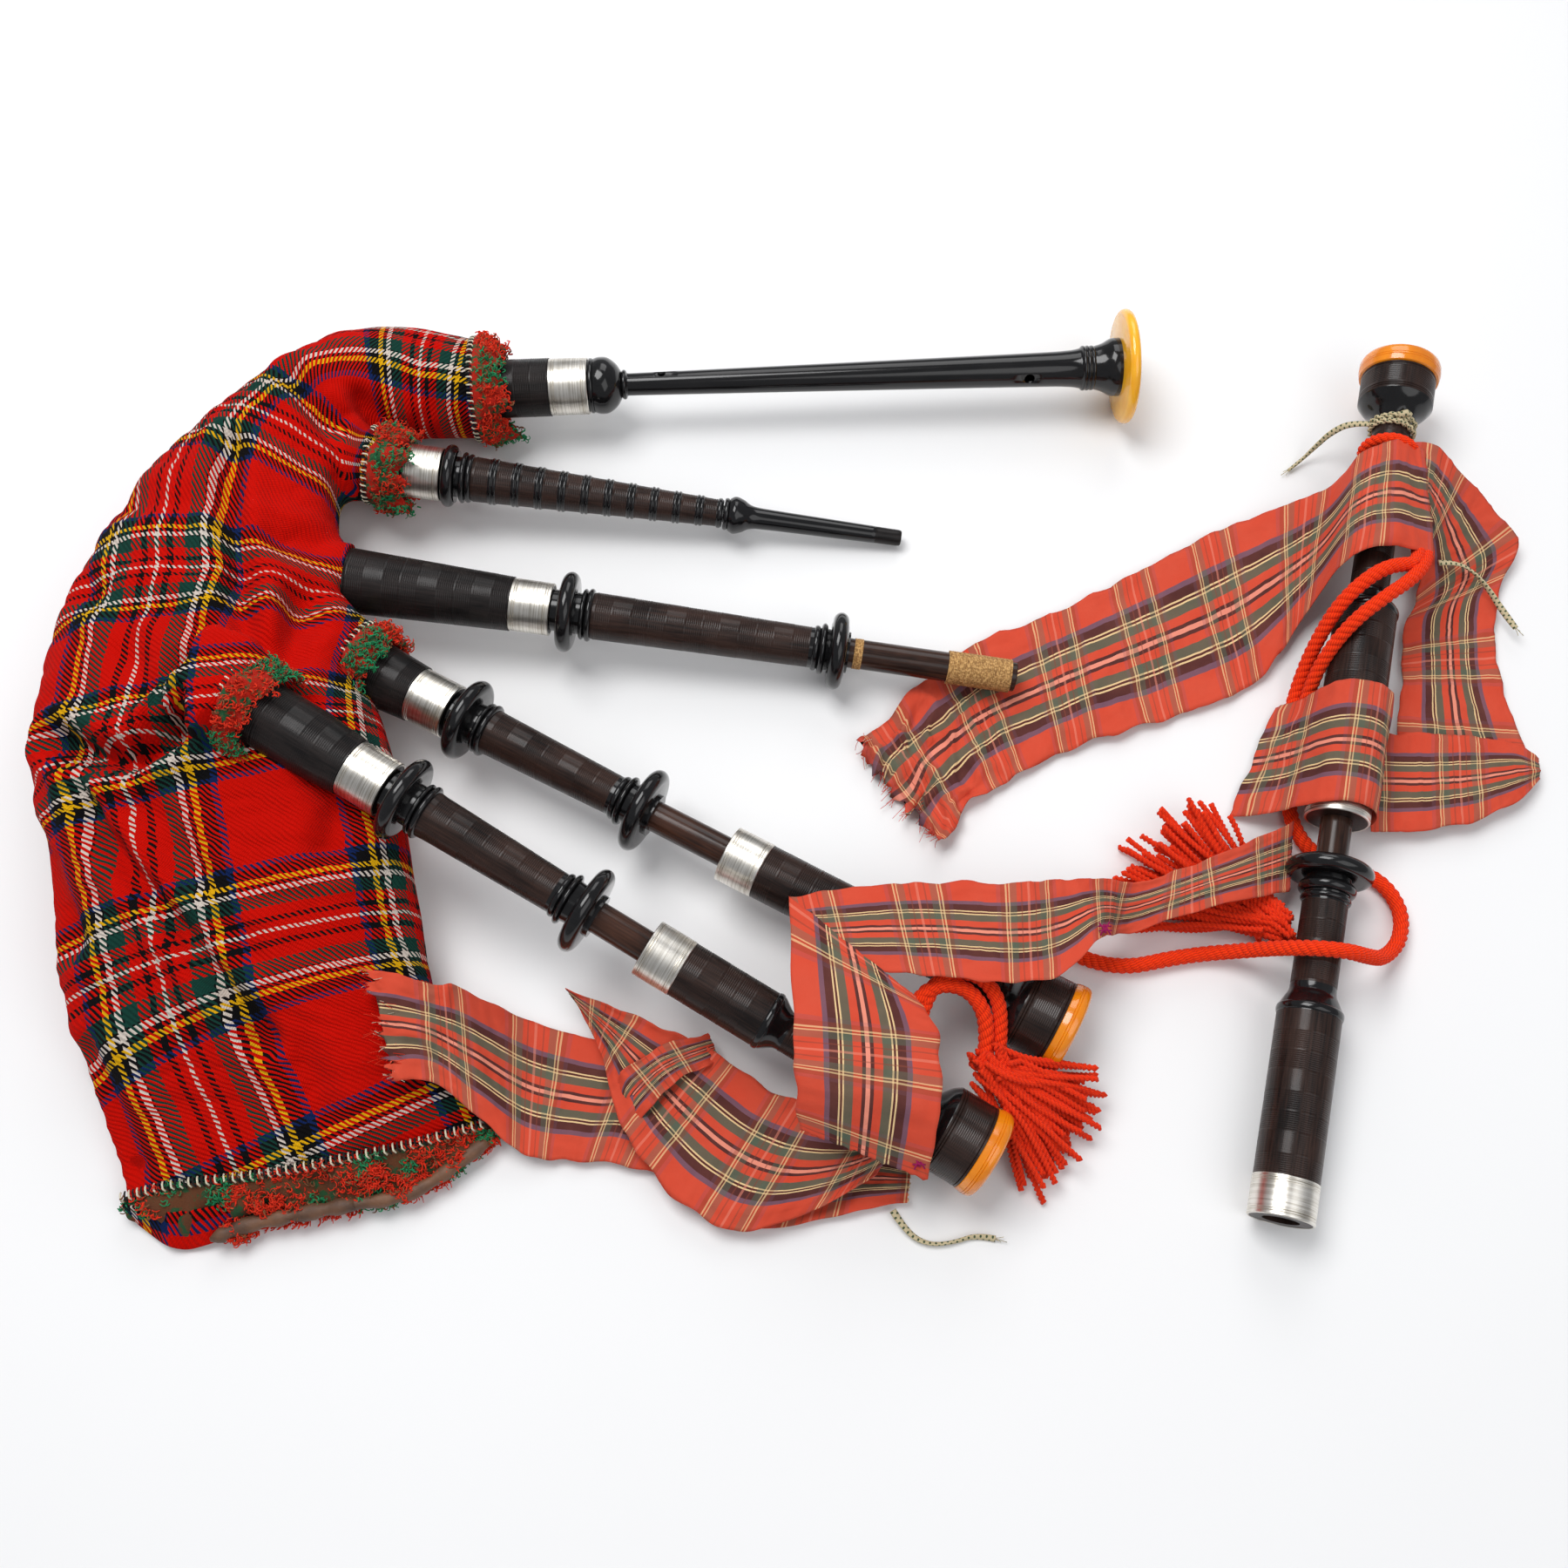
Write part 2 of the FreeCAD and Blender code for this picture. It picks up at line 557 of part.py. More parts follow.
def tenor(name, pipe, top_start):
    body = (dims.tenor_body_start, dims.tenor_body_radius)
    body += (dims.tenor_body_end, dims.tenor_body_end_radius)
    pin = (dims.tenor_pin_start, dims.tenor_pin_end)
    lower, upper = dims.tenor_lower_mount_start, dims.tenor_upper_mount_start
    bottom_joint(name + "_bottom_joint", pipe, upper, dims.tenor_bead_start, body, pin)
    mounts = ((dims.mouth + lower, dims.tenor_mount_width, dims.tenor_lower_mount_radius),
              (dims.mouth + upper, dims.tenor_mount_width, dims.tenor_upper_mount_radius))
    mount_pair(name + "_mounts", pipe, mounts, dims.collar_radius)
    tenon_hemp(name + "_hemp", pipe)
    reed(name + "_reed", pipe, dims.tenor_reed_length, dims.reed_radius, dims.reed_bore)
    chamber = (dims.tenor_top_ferrule_radius, dims.tenor_chamber_radius, dims.tenor_chamber_end)
    neck = (dims.tenor_neck_start, dims.tenor_neck_radius, dims.tenor_neck_end)
    bell = (dims.tenor_bell_shoulder, dims.tenor_bell_radius, dims.tenor_ring_start)
    top_joint(name, pipe, dims.mouth + top_start, chamber, neck, bell, dims.tenor_top_length,
              dims.tenor_pin_end - top_start + dims.bore_margin)


def top_joint(name, pipe, start, chamber, neck, bell, length, bore_length):
    """A drone's top joint with its ferrule and bell ring. chamber is (ferrule radius, radius,
    end), neck is (start, radius, end) and bell is (shoulder, radius, ring start)."""
    ferrule_radius, chamber_radius, chamber_end = chamber
    neck_start, neck_radius, neck_end = neck
    shoulder, bell_radius, ring_start = bell
    seat = ferrule_radius - dims.ferrule_wall
    lip = start + dims.top_ferrule_length
    end = start + length
    floor = end - dims.bell_cavity_depth
    rim_seat = dims.bell_cavity_radius + dims.bell_wall
    corners = [(start, dims.pin_bore), (start, seat), (lip, seat), (lip, chamber_radius)]
    corners += [(start + chamber_end, chamber_radius), (start + neck_start, neck_radius)]
    corners += [(start + neck_end, neck_radius), (start + shoulder, bell_radius)]
    corners += [(start + ring_start, bell_radius), (start + ring_start, rim_seat)]
    corners += [(end - dims.bell_lip, rim_seat), (end - dims.bell_lip, dims.bell_cavity_radius)]
    corners += [(floor, dims.bell_cavity_radius), (floor, dims.drone_bore)]
    corners += [(start + bore_length, dims.drone_bore), (start + bore_length, dims.pin_bore)]
    turned(name + "_top_joint", pipe, corners)
    tube(name + "_top_ferrule", pipe, start, lip, ferrule_radius, seat)
    width = length - ring_start
    ring = [(start + ring_start, rim_seat)]
    ring += rim(start + ring_start, width, dims.bell_ring_radius)
    ring += [(end, rim_seat)]
    turned(name + "_bell_ring", pipe, ring)


def bass_upper():
    """The bass drone's middle and top joints, one line of wood that lies apart from the bag."""
    tail = dims.tail
    seat = dims.middle_ferrule_radius - dims.ferrule_wall
    lip = tail + dims.middle_ferrule_length
    bead = tail + dims.middle_neck_end + dims.middle_bead_gap
    mount_start = tail + dims.middle_mount_start
    pin_start = tail + dims.middle_pin_start
    pin_end = tail + dims.middle_pin_end
    socket_end = tail + dims.middle_socket_depth
    corners = [(tail, dims.socket_radius), (tail, seat), (lip, seat)]
    corners += [(lip, dims.middle_chamber_radius)]
    corners += [(tail + dims.middle_chamber_end, dims.middle_chamber_radius)]
    corners += [(tail + dims.middle_neck_start, dims.middle_neck_radius)]
    corners += [(bead, dims.middle_neck_radius)]
    corners += [(bead + dims.bead_round * 2, dims.middle_neck_radius, BEAD)]
    corners += [(pin_start, dims.middle_neck_radius), (pin_start, dims.pin_radius)]
    corners += [(pin_end, dims.pin_radius), (pin_end, dims.drone_bore)]
    corners += [(socket_end, dims.drone_bore), (socket_end, dims.socket_radius)]
    turned("bass_middle_joint", BASS_UPPER, corners)
    tube("bass_middle_ferrule", BASS_UPPER, tail, lip, dims.middle_ferrule_radius, seat)
    mount("bass_middle_mount", BASS_UPPER, mount_start, dims.middle_mount_width,
          dims.middle_mount_radius, dims.middle_neck_radius)
    chamber = (dims.bass_top_ferrule_radius, dims.bass_chamber_radius, dims.bass_chamber_end)
    neck = (dims.bass_neck_start, dims.bass_neck_radius, dims.bass_neck_end)
    bell = (dims.bass_bell_shoulder, dims.bass_bell_radius, dims.bass_ring_start)
    start = tail + dims.bass_top_start
    top_joint("bass", BASS_UPPER, start, chamber, neck, bell, dims.bass_top_length,
              dims.middle_pin_end - dims.bass_top_start + dims.bore_margin)
    tie = start + dims.bass_tie_start
    tube("bass_neck_tie", BASS_UPPER, tie, tie + dims.bass_tie_width,
         dims.bass_neck_radius + dims.bass_tie_thickness, dims.bass_neck_radius)


# --- bag and cover -----------------------------------------------------------------------------

# Cross sections of the bag from its neck to its seam: middle of the section, half width, half
# height, and the heading of the width in degrees.
BAG_SECTIONS = (
    ((-197, 223.7, 35.0), 29, 29, -87.5),
    ((-244, 227, 36.5), 33, 32, -88),
    ((-281, 218, 38.5), 36, 35, -72),
    ((-308, 182, 41.5), 44, 38, -49),
    ((-326, 137, 43.5), 60, 41, -31),
    ((-338, 87, 45.5), 74, 44, -20),
    ((-338, 31, 46.0), 88, 46, -4),
    ((-329, -27, 46.0), 99, 46, -1),
    ((-316, -82, 41.0), 100, 41, -1),
    ((-295, -164, 28.3), 95, 28, 6),
    ((-273, -214, 15.5), 97, 15, 9),
    ((-260, -243, 8.0), 96, 7.6, 13),
)
BAG_BEND = 5

# Pipe, radius of the stock inside the bag, and how far before the mouth the cover's sleeve
# starts and ends. The chanter's sleeve is the neck of the cover itself.
SLEEVES = (
    ("blowpipe", BLOWPIPE, dims.blowpipe_stock_radius, 74, 23),
    ("bass", BASS, dims.bass_stock_radius, 146, 118),
    ("tenor_1", TENOR_1, dims.tenor_stock_radius, 96, 51),
    ("tenor_2", TENOR_2, dims.tenor_stock_radius, 106, 80),
)


def bag_loft(name, inset, first, last):
    """A closed loft through the sections, each drawn in by the inset. The neck turns too far
    for one loft, so it is made in two that meet at the bend."""
    rings = []
    for index in range(first, last):
        middle, half_width, half_height, heading = BAG_SECTIONS[index]
        ring = doc.addObject("Part::Ellipse", "%s_%d" % (name, index))
        bind(ring, "MajorRadius", Size(half_width, "%g" % half_width) - inset)
        bind(ring, "MinorRadius", Size(half_height, "%g" % half_height) - inset)
        heading = math.radians(heading)
        across = Vector(math.cos(heading), math.sin(heading), 0)
        turn = FreeCAD.Rotation(across, Vector(0, 0, 1), Vector(0, 0, 0), "XYZ")
        ring.Placement = FreeCAD.Placement(Vector(*middle), turn)
        rings.append(ring)
    lofts = []
    bend = BAG_BEND - first
    for half, sections in (("neck", rings[:bend + 1]), ("body", rings[bend:])):
        loft = doc.addObject("Part::Loft", "%s_%s" % (name, half))
        loft.Sections = sections
        loft.Solid = True
        loft.Ruled = True
        lofts.append(loft)
    whole = doc.addObject("Part::MultiFuse", name)
    whole.Shapes = lofts
    return whole


def rod(name, pipe, start, stop, radius):
    """A plain cylinder along a pipe, start and stop given before its mouth."""
    cylinder = doc.addObject("Part::Cylinder", name)
    bind(cylinder, "Radius", radius)
    cylinder.Height = start - stop
    station = number(dims.mouth) - start
    turn = FreeCAD.Rotation(Vector(0, 1, 0), 90)
    inner = FreeCAD.Placement(Vector(station, 0, 0), turn)
    cylinder.Placement = pipe.placement.multiply(inner)
    return cylinder


def cut(name, base, tools):
    joined = doc.addObject("Part::MultiFuse", name + "_tools")
    joined.Shapes = tools
    result = doc.addObject("Part::Cut", name)
    result.Base = base
    result.Tool = joined
    return result


def bag_and_cover():
    count = len(BAG_SECTIONS)
    outside = bag_loft("cover_outside", 0, 0, count)
    inside = bag_loft("cover_inside", dims.cover_wall, 0, count - 1)
    sleeves = []
    clear = []
    seats = []
    for name, pipe, radius, start, stop in SLEEVES:
        wide = radius + dims.sleeve_gap
        sleeves.append(rod(name + "_sleeve", pipe, start, stop, wide + dims.sleeve_wall))
        clear.append(rod(name + "_sleeve_bore", pipe, start + 4, 0, wide))
        seats.append(rod(name + "_seat", pipe, start + 50, 0, radius + dims.stock_seat_gap))
    whole = doc.addObject("Part::MultiFuse", "cover_whole")
    whole.Shapes = [outside] + sleeves
    node("bag_cover", cut("bag_cover_shell", whole, [inside] + clear))

    leather_inset = dims.cover_wall + dims.cover_gap
    leather = bag_loft("bag_outside", leather_inset, 0, count - 1)
    hollow = bag_loft("bag_inside", leather_inset + dims.leather_wall, 1, count - 2)
    seats.append(rod("chanter_seat", CHANTER, 130, 40,
                     dims.chanter_stock_radius + dims.stock_seat_gap))
    node("bag", cut("bag_shell", leather, [hollow] + seats))

    tab = doc.addObject("Part::Box", "bag_tab")
    bind(tab, "Length", dims.tab_length)
    bind(tab, "Width", dims.tab_width)
    bind(tab, "Height", dims.tab_thickness)
    turn = FreeCAD.Rotation(Vector(0, 0, 1), -28)
    tab.Placement = FreeCAD.Placement(Vector(-165, -227, 5), turn)
    node("bag_tab", tab)


# --- ribbons, cords and tassels ----------------------------------------------------------------

# Each ribbon is a run of stations across its length: one edge, then the other.
RIBBON_TAIL = (
    ((367, 175, 43), (362, 102, 43)),
    ((347, 176, 51), (333, 103, 53)),
    ((328, 170, 45), (309, 97, 46)),
    ((312, 162, 16), (293, 79, 14)),
    ((251, 142, 4), (261, 39, 4)),
    ((195, 111, 4), (208, 16, 4)),
    ((146, 85, 4), (156, -1, 4)),
    ((93, 61, 3), (117, -20, 3)),
    ((56, 30, 3), (89, -41, 3)),
    ((27, -3, 4), (73, -65, 4)),
)
RIBBON_LOOP = (
    ((372, 175, 41), (370, 133, 41)),
    ((406, 156, 22), (382, 115, 20)),
    ((428, 130, 10), (374, 94, 8)),
    ((412, 93, 4), (360, 80, 4)),
    ((406, 41, 4), (348, 41, 4)),
    ((413, -3, 4), (340, 2, 4)),
    ((416, -20, 4), (338, -30, 4)),
    ((376, -46, 4), (338, -54, 4)),
)
RIBBON_PANEL = (
    ((266, -62, 10), (262, -94, 12)),
    ((218, -80, 31), (218, -108, 32)),
    ((177, -100, 26), (172, -116, 28)),
    ((154, -94, 38), (150, -132, 54)),
    ((130, -98, 48), (128, -152, 60)),
    ((104, -103, 57), (103, -158, 61)),
    ((53, -103, 58), (61, -154, 61)),
    ((-12, -110, 58), (-2, -151, 64)),
)
RIBBON_DRAPE = (
    ((-13, -114, 70), (50, -166, 68)),
    ((-11, -178, 72), (62, -186, 66)),
    ((-10, -208, 70), (62, -221, 66)),
    ((-8, -230, 48), (56, -254, 40)),
)
RIBBON_STRIP = (
    ((52, -238, 5), (49, -259, 5)),
    ((35, -232, 4), (30, -263, 4)),
    ((-8, -216, 4), (-34, -273, 4)),
    ((-48, -196, 4), (-79, -246, 4)),
    ((-88, -180, 5), (-108, -206, 5)),
    ((-109, -184, 6), (-126, -235, 6)),
    ((-153, -164, 4), (-151, -236, 10)),
    ((-184, -155, 36), (-176, -218, 22)),
    ((-201, -154, 48), (-196, -204, 36)),
    ((-229, -150, 58), (-215, -205, 44)),
)

# The twisted cord: from the bass neck, over the chamber, down to the ground, under the pin,
# round and over the middle joint, along the ground and up to the neck of the first tenor.
LONG_CORD = (
    (346, 92, 52), (333, 89, 58), (317, 81, 58), (301, 68, 49), (291, 52, 27),
    (284, 33, 10), (278, 13, 6), (274, -8, 6), (272, -31, 6), (273, -53, 6),
    (284, -70, 6), (303, -76, 6), (320, -85, 6), (328, -102, 6), (324, -120, 7),
    (310, -132, 16), (296, -136, 34), (281, -137, 48), (264, -135, 48), (249, -131, 34),
    (235, -127, 15), (217, -126, 6), (196, -129, 6), (174, -134, 6), (153, -131, 6),
    (133, -121, 8), (115, -112, 18), (97, -110, 33), (82, -118, 44), (72, -130, 47),
)
TASSEL_CORD = (
    (48, -177, 46), (53, -163, 49), (65, -155, 51), (79, -157, 50), (88, -167, 46),
    (90, -180, 40), (89, -192, 34),
)
NECK_TAIL = (
    (340, 198, 36), (330, 201, 33), (321, 201, 23), (314, 198, 11), (307, 193, 4),
    (299, 187, 2.5),
)
LOOSE_TAIL = (
    (374, 110, 22), (385, 111, 21), (396, 106, 18), (405, 96, 14), (411, 84, 12), (418, 72, 11),
)
BELL_TAIL = (
    (41, -264, 5), (48, -275, 3), (59, -281, 2), (72, -280, 2), (84, -276, 2), (94, -278, 2),
)


def ribbon(label, stations):
    """A flat strip of cloth as a closed solid: plane facets between the stations."""
    lift = Vector(0, 0, number(dims.ribbon_thickness))
    left = [Vector(*pair[0]) for pair in stations]
    right = [Vector(*pair[1]) for pair in stations]
    facets = []

    def quad(a, b, c, d):
        facets.append((a, b, c))
        facets.append((a, c, d))

    for index in range(len(stations) - 1):
        a, b = left[index], left[index + 1]
        c, d = right[index + 1], right[index]
        quad(a, b, c, d)
        quad(a + lift, d + lift, c + lift, b + lift)
        quad(a, a + lift, b + lift, b)
        quad(d, c, c + lift, d + lift)
    quad(left[0], right[0], right[0] + lift, left[0] + lift)
    quad(left[-1], left[-1] + lift, right[-1] + lift, right[-1])
    faces = [Part.Face(Part.makePolygon([a, b, c, a])) for a, b, c in facets]
    strip = doc.addObject("Part::Feature", label)
    strip.Shape = Part.makeSolid(Part.makeShell(faces))
    return node(label, strip)


def cord(label, route, size, share=0.45):
    """A tube along straight runs joined by tangent arcs, each arc as large as its runs allow."""
    radius = number(size)
    points = [Vector(*point) for point in route]
    edges = []
    bends = []
    last = points[0]
    for before, corner, after in zip(points, points[1:], points[2:]):
        back = (before - corner).normalize()
        ahead = (after - corner).normalize()
        half_turn = (math.pi - back.getAngle(ahead)) / 2
        reach = share * min(corner.distanceToPoint(before), corner.distanceToPoint(after))
        bend = reach / math.tan(half_turn)
        bends.append(bend)
        start = corner + back * reach
        stop = corner + ahead * reach
        middle = (back + ahead).normalize()
        top = corner + middle * (bend / math.cos(half_turn) - bend)
        edges.append(Part.LineSegment(last, start).toShape())
        edges.append(Part.Arc(start, top, stop).toShape())
        last = stop
    edges.append(Part.LineSegment(last, points[-1]).toShape())
    path = Part.Wire(edges)
    aim = points[1] - points[0]
    ring = Part.Wire([Part.makeCircle(radius, points[0], aim)])
    tube_shape = path.makePipeShell([ring], True, True)
    expected = math.pi * radius**2 * path.Length
    print("%s: length %.1f mm, smallest radius %.1f mm, volume %.4f of section x length"
          % (label, path.Length, min(bends), tube_shape.Volume / expected))
    feature = doc.addObject("Part::Feature", label)
    feature.Shape = tube_shape
    return node(label, feature)


def tassel(label, head, tip, length, skirt):
    """A knot and the skirt of yarn below it."""
    aim = Vector(*tip) - Vector(*head)
    pipe = Pipe(head, aim, dims.tail)
    knot = dims.tassel_head_radius
    start = dims.tail
    waist = start + knot * 2
    corners = [(start, 1), (start, 2), (waist, 2, BEAD), (waist, knot * 0.8)]
    corners += [(waist + length * 0.5, skirt * 0.85), (waist + length, skirt)]
    corners += [(waist + length, 1)]
    return turned(label, pipe, corners)


def soft_goods():
    ribbon("ribbon_tail", RIBBON_TAIL)
    ribbon("ribbon_loop", RIBBON_LOOP)
    ribbon("ribbon_panel", RIBBON_PANEL)
    ribbon("ribbon_drape", RIBBON_DRAPE)
    ribbon("ribbon_strip", RIBBON_STRIP)
    start, stop = dims.tail + dims.wrap_start, dims.tail + dims.wrap_end
    outer = dims.wrap_inner_radius + dims.ribbon_thickness * 0.7
    tube("ribbon_wrap", BASS_UPPER, start, stop, outer, dims.wrap_inner_radius)
    cord("cord_long", LONG_CORD, dims.cord_radius)
    cord("cord_tassel", TASSEL_CORD, dims.cord_radius)
    cord("tape_neck", NECK_TAIL, dims.tape_radius)
    cord("tape_loose", LOOSE_TAIL, dims.tape_radius)
    cord("tape_bell", BELL_TAIL, dims.tape_radius)
    tassel("tassel_1", (93, -196, 31), (124, -213, 19), dims.tassel_length,
           dims.tassel_skirt_radius)
    tassel("tassel_2", (258, -112, 11), (201, -70, 14.5), dims.second_tassel_length,
           dims.second_tassel_skirt_radius)


def stocks():
    mouth_end = dims.chanter_ferrule_length
    stock("chanter", CHANTER, dims.chanter_stock_length, dims.chanter_stock_radius,
          mouth_end + 1, dims.chanter_stock_radius, mouth_end, dims.chanter_ferrule_radius)
    stock("blowpipe", BLOWPIPE, dims.blowpipe_stock_length, dims.blowpipe_stock_radius,
          dims.blowpipe_ferrule_length + 1, dims.blowpipe_stock_radius,
          dims.blowpipe_ferrule_length, dims.blowpipe_ferrule_radius)
    stock("bass", BASS, dims.bass_stock_length, dims.bass_stock_radius,
          dims.bass_stock_shoulder, dims.bass_stock_mouth_radius,
          dims.bass_ferrule_length, dims.bass_ferrule_radius)
    for name, pipe in (("tenor_1", TENOR_1), ("tenor_2", TENOR_2)):
        stock(name, pipe, dims.tenor_stock_length, dims.tenor_stock_radius,
              dims.tenor_stock_shoulder, dims.tenor_stock_mouth_radius,
              dims.tenor_ferrule_length, dims.tenor_ferrule_radius)


def check():
    """Stops on any failed object or bad solid before a file is written."""
    for thing in doc.Objects:
        if "Invalid" in thing.State or "Error" in thing.State:
            raise RuntimeError("%s failed: %s" % (thing.Name, thing.State))
    for label, thing in NODES.items():
        if thing.Shape.isNull() or not thing.Shape.isValid() or thing.Shape.Volume <= 0:
            raise RuntimeError("%s has a bad shape" % label)


def export():
    os.makedirs("parts", exist_ok=True)
    box = FreeCAD.BoundBox()
    for label, thing in NODES.items():
        thing.Shape.exportStep("parts/%s.step" % label)
        box.add(thing.Shape.optimalBoundingBox(False))
    print("%d nodes, x %.1f to %.1f, y %.1f to %.1f, z %.2f to %.1f"
          % (len(NODES), box.XMin, box.XMax, box.YMin, box.YMax, box.ZMin, box.ZMax))


stocks()
chanter()
blowpipe()
bass_bottom()
tenor("tenor_1", TENOR_1, dims.tenor_1_top_start)
tenor("tenor_2", TENOR_2, dims.tenor_2_top_start)
bass_upper()
bag_and_cover()
soft_goods()
doc.recompute()
check()
export()
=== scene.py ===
import json
import math
import random

import bpy
from mathutils import Matrix, Vector, noise
from mathutils.kdtree import KDTree


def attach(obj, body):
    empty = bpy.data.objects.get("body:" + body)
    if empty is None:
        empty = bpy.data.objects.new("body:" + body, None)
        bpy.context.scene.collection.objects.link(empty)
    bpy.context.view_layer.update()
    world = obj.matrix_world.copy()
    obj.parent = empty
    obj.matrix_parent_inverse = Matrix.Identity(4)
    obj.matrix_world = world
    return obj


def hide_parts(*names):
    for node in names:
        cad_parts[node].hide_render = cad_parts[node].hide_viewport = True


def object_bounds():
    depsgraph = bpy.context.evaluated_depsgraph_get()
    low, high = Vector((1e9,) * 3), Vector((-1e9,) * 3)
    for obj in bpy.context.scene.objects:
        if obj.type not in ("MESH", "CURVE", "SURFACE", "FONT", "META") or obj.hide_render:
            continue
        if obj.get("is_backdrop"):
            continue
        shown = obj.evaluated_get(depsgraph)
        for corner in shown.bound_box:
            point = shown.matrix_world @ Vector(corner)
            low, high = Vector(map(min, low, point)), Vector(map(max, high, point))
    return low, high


# A set of Highland bagpipes laid flat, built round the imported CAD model. Lengths below are in
# millimetres unless a name says otherwise: the helpers turn them into the scene's metres.

MM = 0.001
UP = Vector((0, 0, 1))

# How far different things stay off the ground, in metres.
GROUND_GAP, THREAD_GAP, TUFT_GAP, CLOTH_GAP = 0.0005, 0.0006, 0.0008, 0.0012

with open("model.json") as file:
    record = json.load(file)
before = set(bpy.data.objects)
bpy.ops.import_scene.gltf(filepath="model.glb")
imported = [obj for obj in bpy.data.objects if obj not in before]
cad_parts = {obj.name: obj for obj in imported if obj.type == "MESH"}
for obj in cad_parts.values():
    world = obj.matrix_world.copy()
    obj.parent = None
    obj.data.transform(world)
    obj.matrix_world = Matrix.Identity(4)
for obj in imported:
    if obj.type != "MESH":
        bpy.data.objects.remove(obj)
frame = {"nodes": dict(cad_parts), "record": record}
CAD_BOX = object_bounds()


# --- pipes -------------------------------------------------------------------------------------


class Pipe:
    """A straight pipe: its own frame has X along the axis, from the given point."""

    def __init__(self, point, aim):
        aim = Vector(aim).normalized()
        up = (UP - aim * aim.z).normalized()
        side = up.cross(aim)
        self.frame = Matrix((aim, side, up)).transposed().to_4x4()
        self.frame.translation = Vector(point) * MM
        self.inverse = self.frame.inverted()

    def at(self, station, side=0.0, up=0.0):
        """A point in the scene from one in the pipe's frame."""
        return self.frame @ (Vector((station, side, up)) * MM)

    def round(self, station, radius, angle):
        """A point at a radius from the axis."""
        return self.at(station, radius * math.cos(angle), radius * math.sin(angle))


CHANTER = Pipe((-135.3, 226.4, 35), (0.9991, 0.0429, 0))
BLOWPIPE = Pipe((-219.7, 161.5, 37), (0.9898, -0.0933, -0.1077))
BASS = Pipe((-149.5, 71.1, 36), (0.9897, -0.1257, -0.0683))
TENOR_1 = Pipe((-200.4, 2.7, 43), (0.8851, -0.4633, -0.0438))
TENOR_2 = Pipe((-222.8, -58.8, 80), (0.8567, -0.495, -0.145))
BASS_UPPER = Pipe((238.2, -270.9, 18), (0.2392, 0.9703, 0.0366))


# --- materials ---------------------------------------------------------------------------------


class Nodes:
    """Builds one node material. A value is a number, a tuple, or another node's socket."""

    def __init__(self, name):
        self.material = bpy.data.materials.new(name)
        self.material.use_nodes = True
        self.tree = self.material.node_tree
        self.shader = self.tree.nodes["Principled BSDF"]

    def feed(self, socket, value):
        if isinstance(value, bpy.types.NodeSocket):
            self.tree.links.new(value, socket)
        else:
            socket.default_value = value

    def add(self, kind, values=None, **settings):
        node = self.tree.nodes.new("ShaderNode" + kind)
        for key, value in settings.items():
            setattr(node, key, value)
        for key, value in (values or {}).items():
            self.feed(node.inputs[key], value)
        return node

    def math(self, operation, a, b=0.0, c=0.0):
        return self.add("Math", {0: a, 1: b, 2: c}, operation=operation).outputs[0]

    def place(self, scale):
        """Object coordinates, stretched."""
        here = self.add("TexCoord").outputs["Object"]
        return self.add("Mapping", {"Vector": here, "Scale": scale}).outputs[0]

    def weave(self, layer="weave"):
        """The cloth's own two coordinates, in metres across and along it."""
        here = self.add("UVMap", uv_map=layer).outputs[0]
        split = self.add("SeparateXYZ", {0: here})
        return split.outputs[0], split.outputs[1]

    def noise(self, scale, stretch=(1, 1, 1), detail=3.0, roughness=0.55):
        values = {"Vector": self.place(stretch), "Scale": scale, "Detail": detail}
        values["Roughness"] = roughness
        return self.add("TexNoise", values).outputs[0]

    def ramp(self, factor, stops, stepped=False):
        node = self.add("ValToRGB", {0: factor})
        ramp = node.color_ramp
        ramp.interpolation = "CONSTANT" if stepped else "LINEAR"
        while len(ramp.elements) < len(stops):
            ramp.elements.new(1.0)
        for element, (position, colour) in zip(ramp.elements, stops):
            element.position = position
            element.color = colour if len(colour) == 4 else (*colour, 1.0)
        return node.outputs[0], node.outputs[1]

    def mix(self, factor, a, b, blend="MIX"):
        node = self.add("Mix", data_type="RGBA", blend_type=blend)
        for index, value in ((0, factor), (6, a), (7, b)):
            if isinstance(value, tuple) and len(value) == 3:
                value = (*value, 1.0)
            self.feed(node.inputs[index], value)
        return node.outputs[2]

    def level(self, value, low, high):
        """Moves a 0 to 1 value to the range from low to high."""
        return self.math("MULTIPLY_ADD", value, high - low, low)

    def bump(self, height, distance, strength, under=None):
        values = {"Height": height, "Distance": distance, "Strength": strength}
        if under is not None:
            values["Normal"] = under
        return self.add("Bump", values).outputs[0]

    def finish(self, **values):
        for key, value in values.items():
            if key.endswith("Color") and isinstance(value, tuple):
                value = (*value, 1.0)
            self.feed(self.shader.inputs[key.replace("_", " ")], value)
        return self.material


def wood(name, dark, light, rough, coat):
    """Dark turned hardwood: long pores along the pipe, handled to an uneven shine."""
    n = Nodes(name)
    pores = n.noise(900, (0.05, 1, 1), 6)
    stain = n.noise(60, (0.4, 1, 1))
    grain = n.math("MULTIPLY", n.math("ADD", pores, stain), 0.5)
    colour, _ = n.ramp(grain, ((0.38, dark), (0.62, light)))
    sheen = n.level(n.noise(140), rough * 0.7, rough * 1.4)
    height = n.bump(pores, 0.0002, 0.35)
    return n.finish(Base_Color=colour, Roughness=sheen, Normal=height, Coat_Weight=coat,
                    Coat_Roughness=0.12, Specular_IOR_Level=0.14)


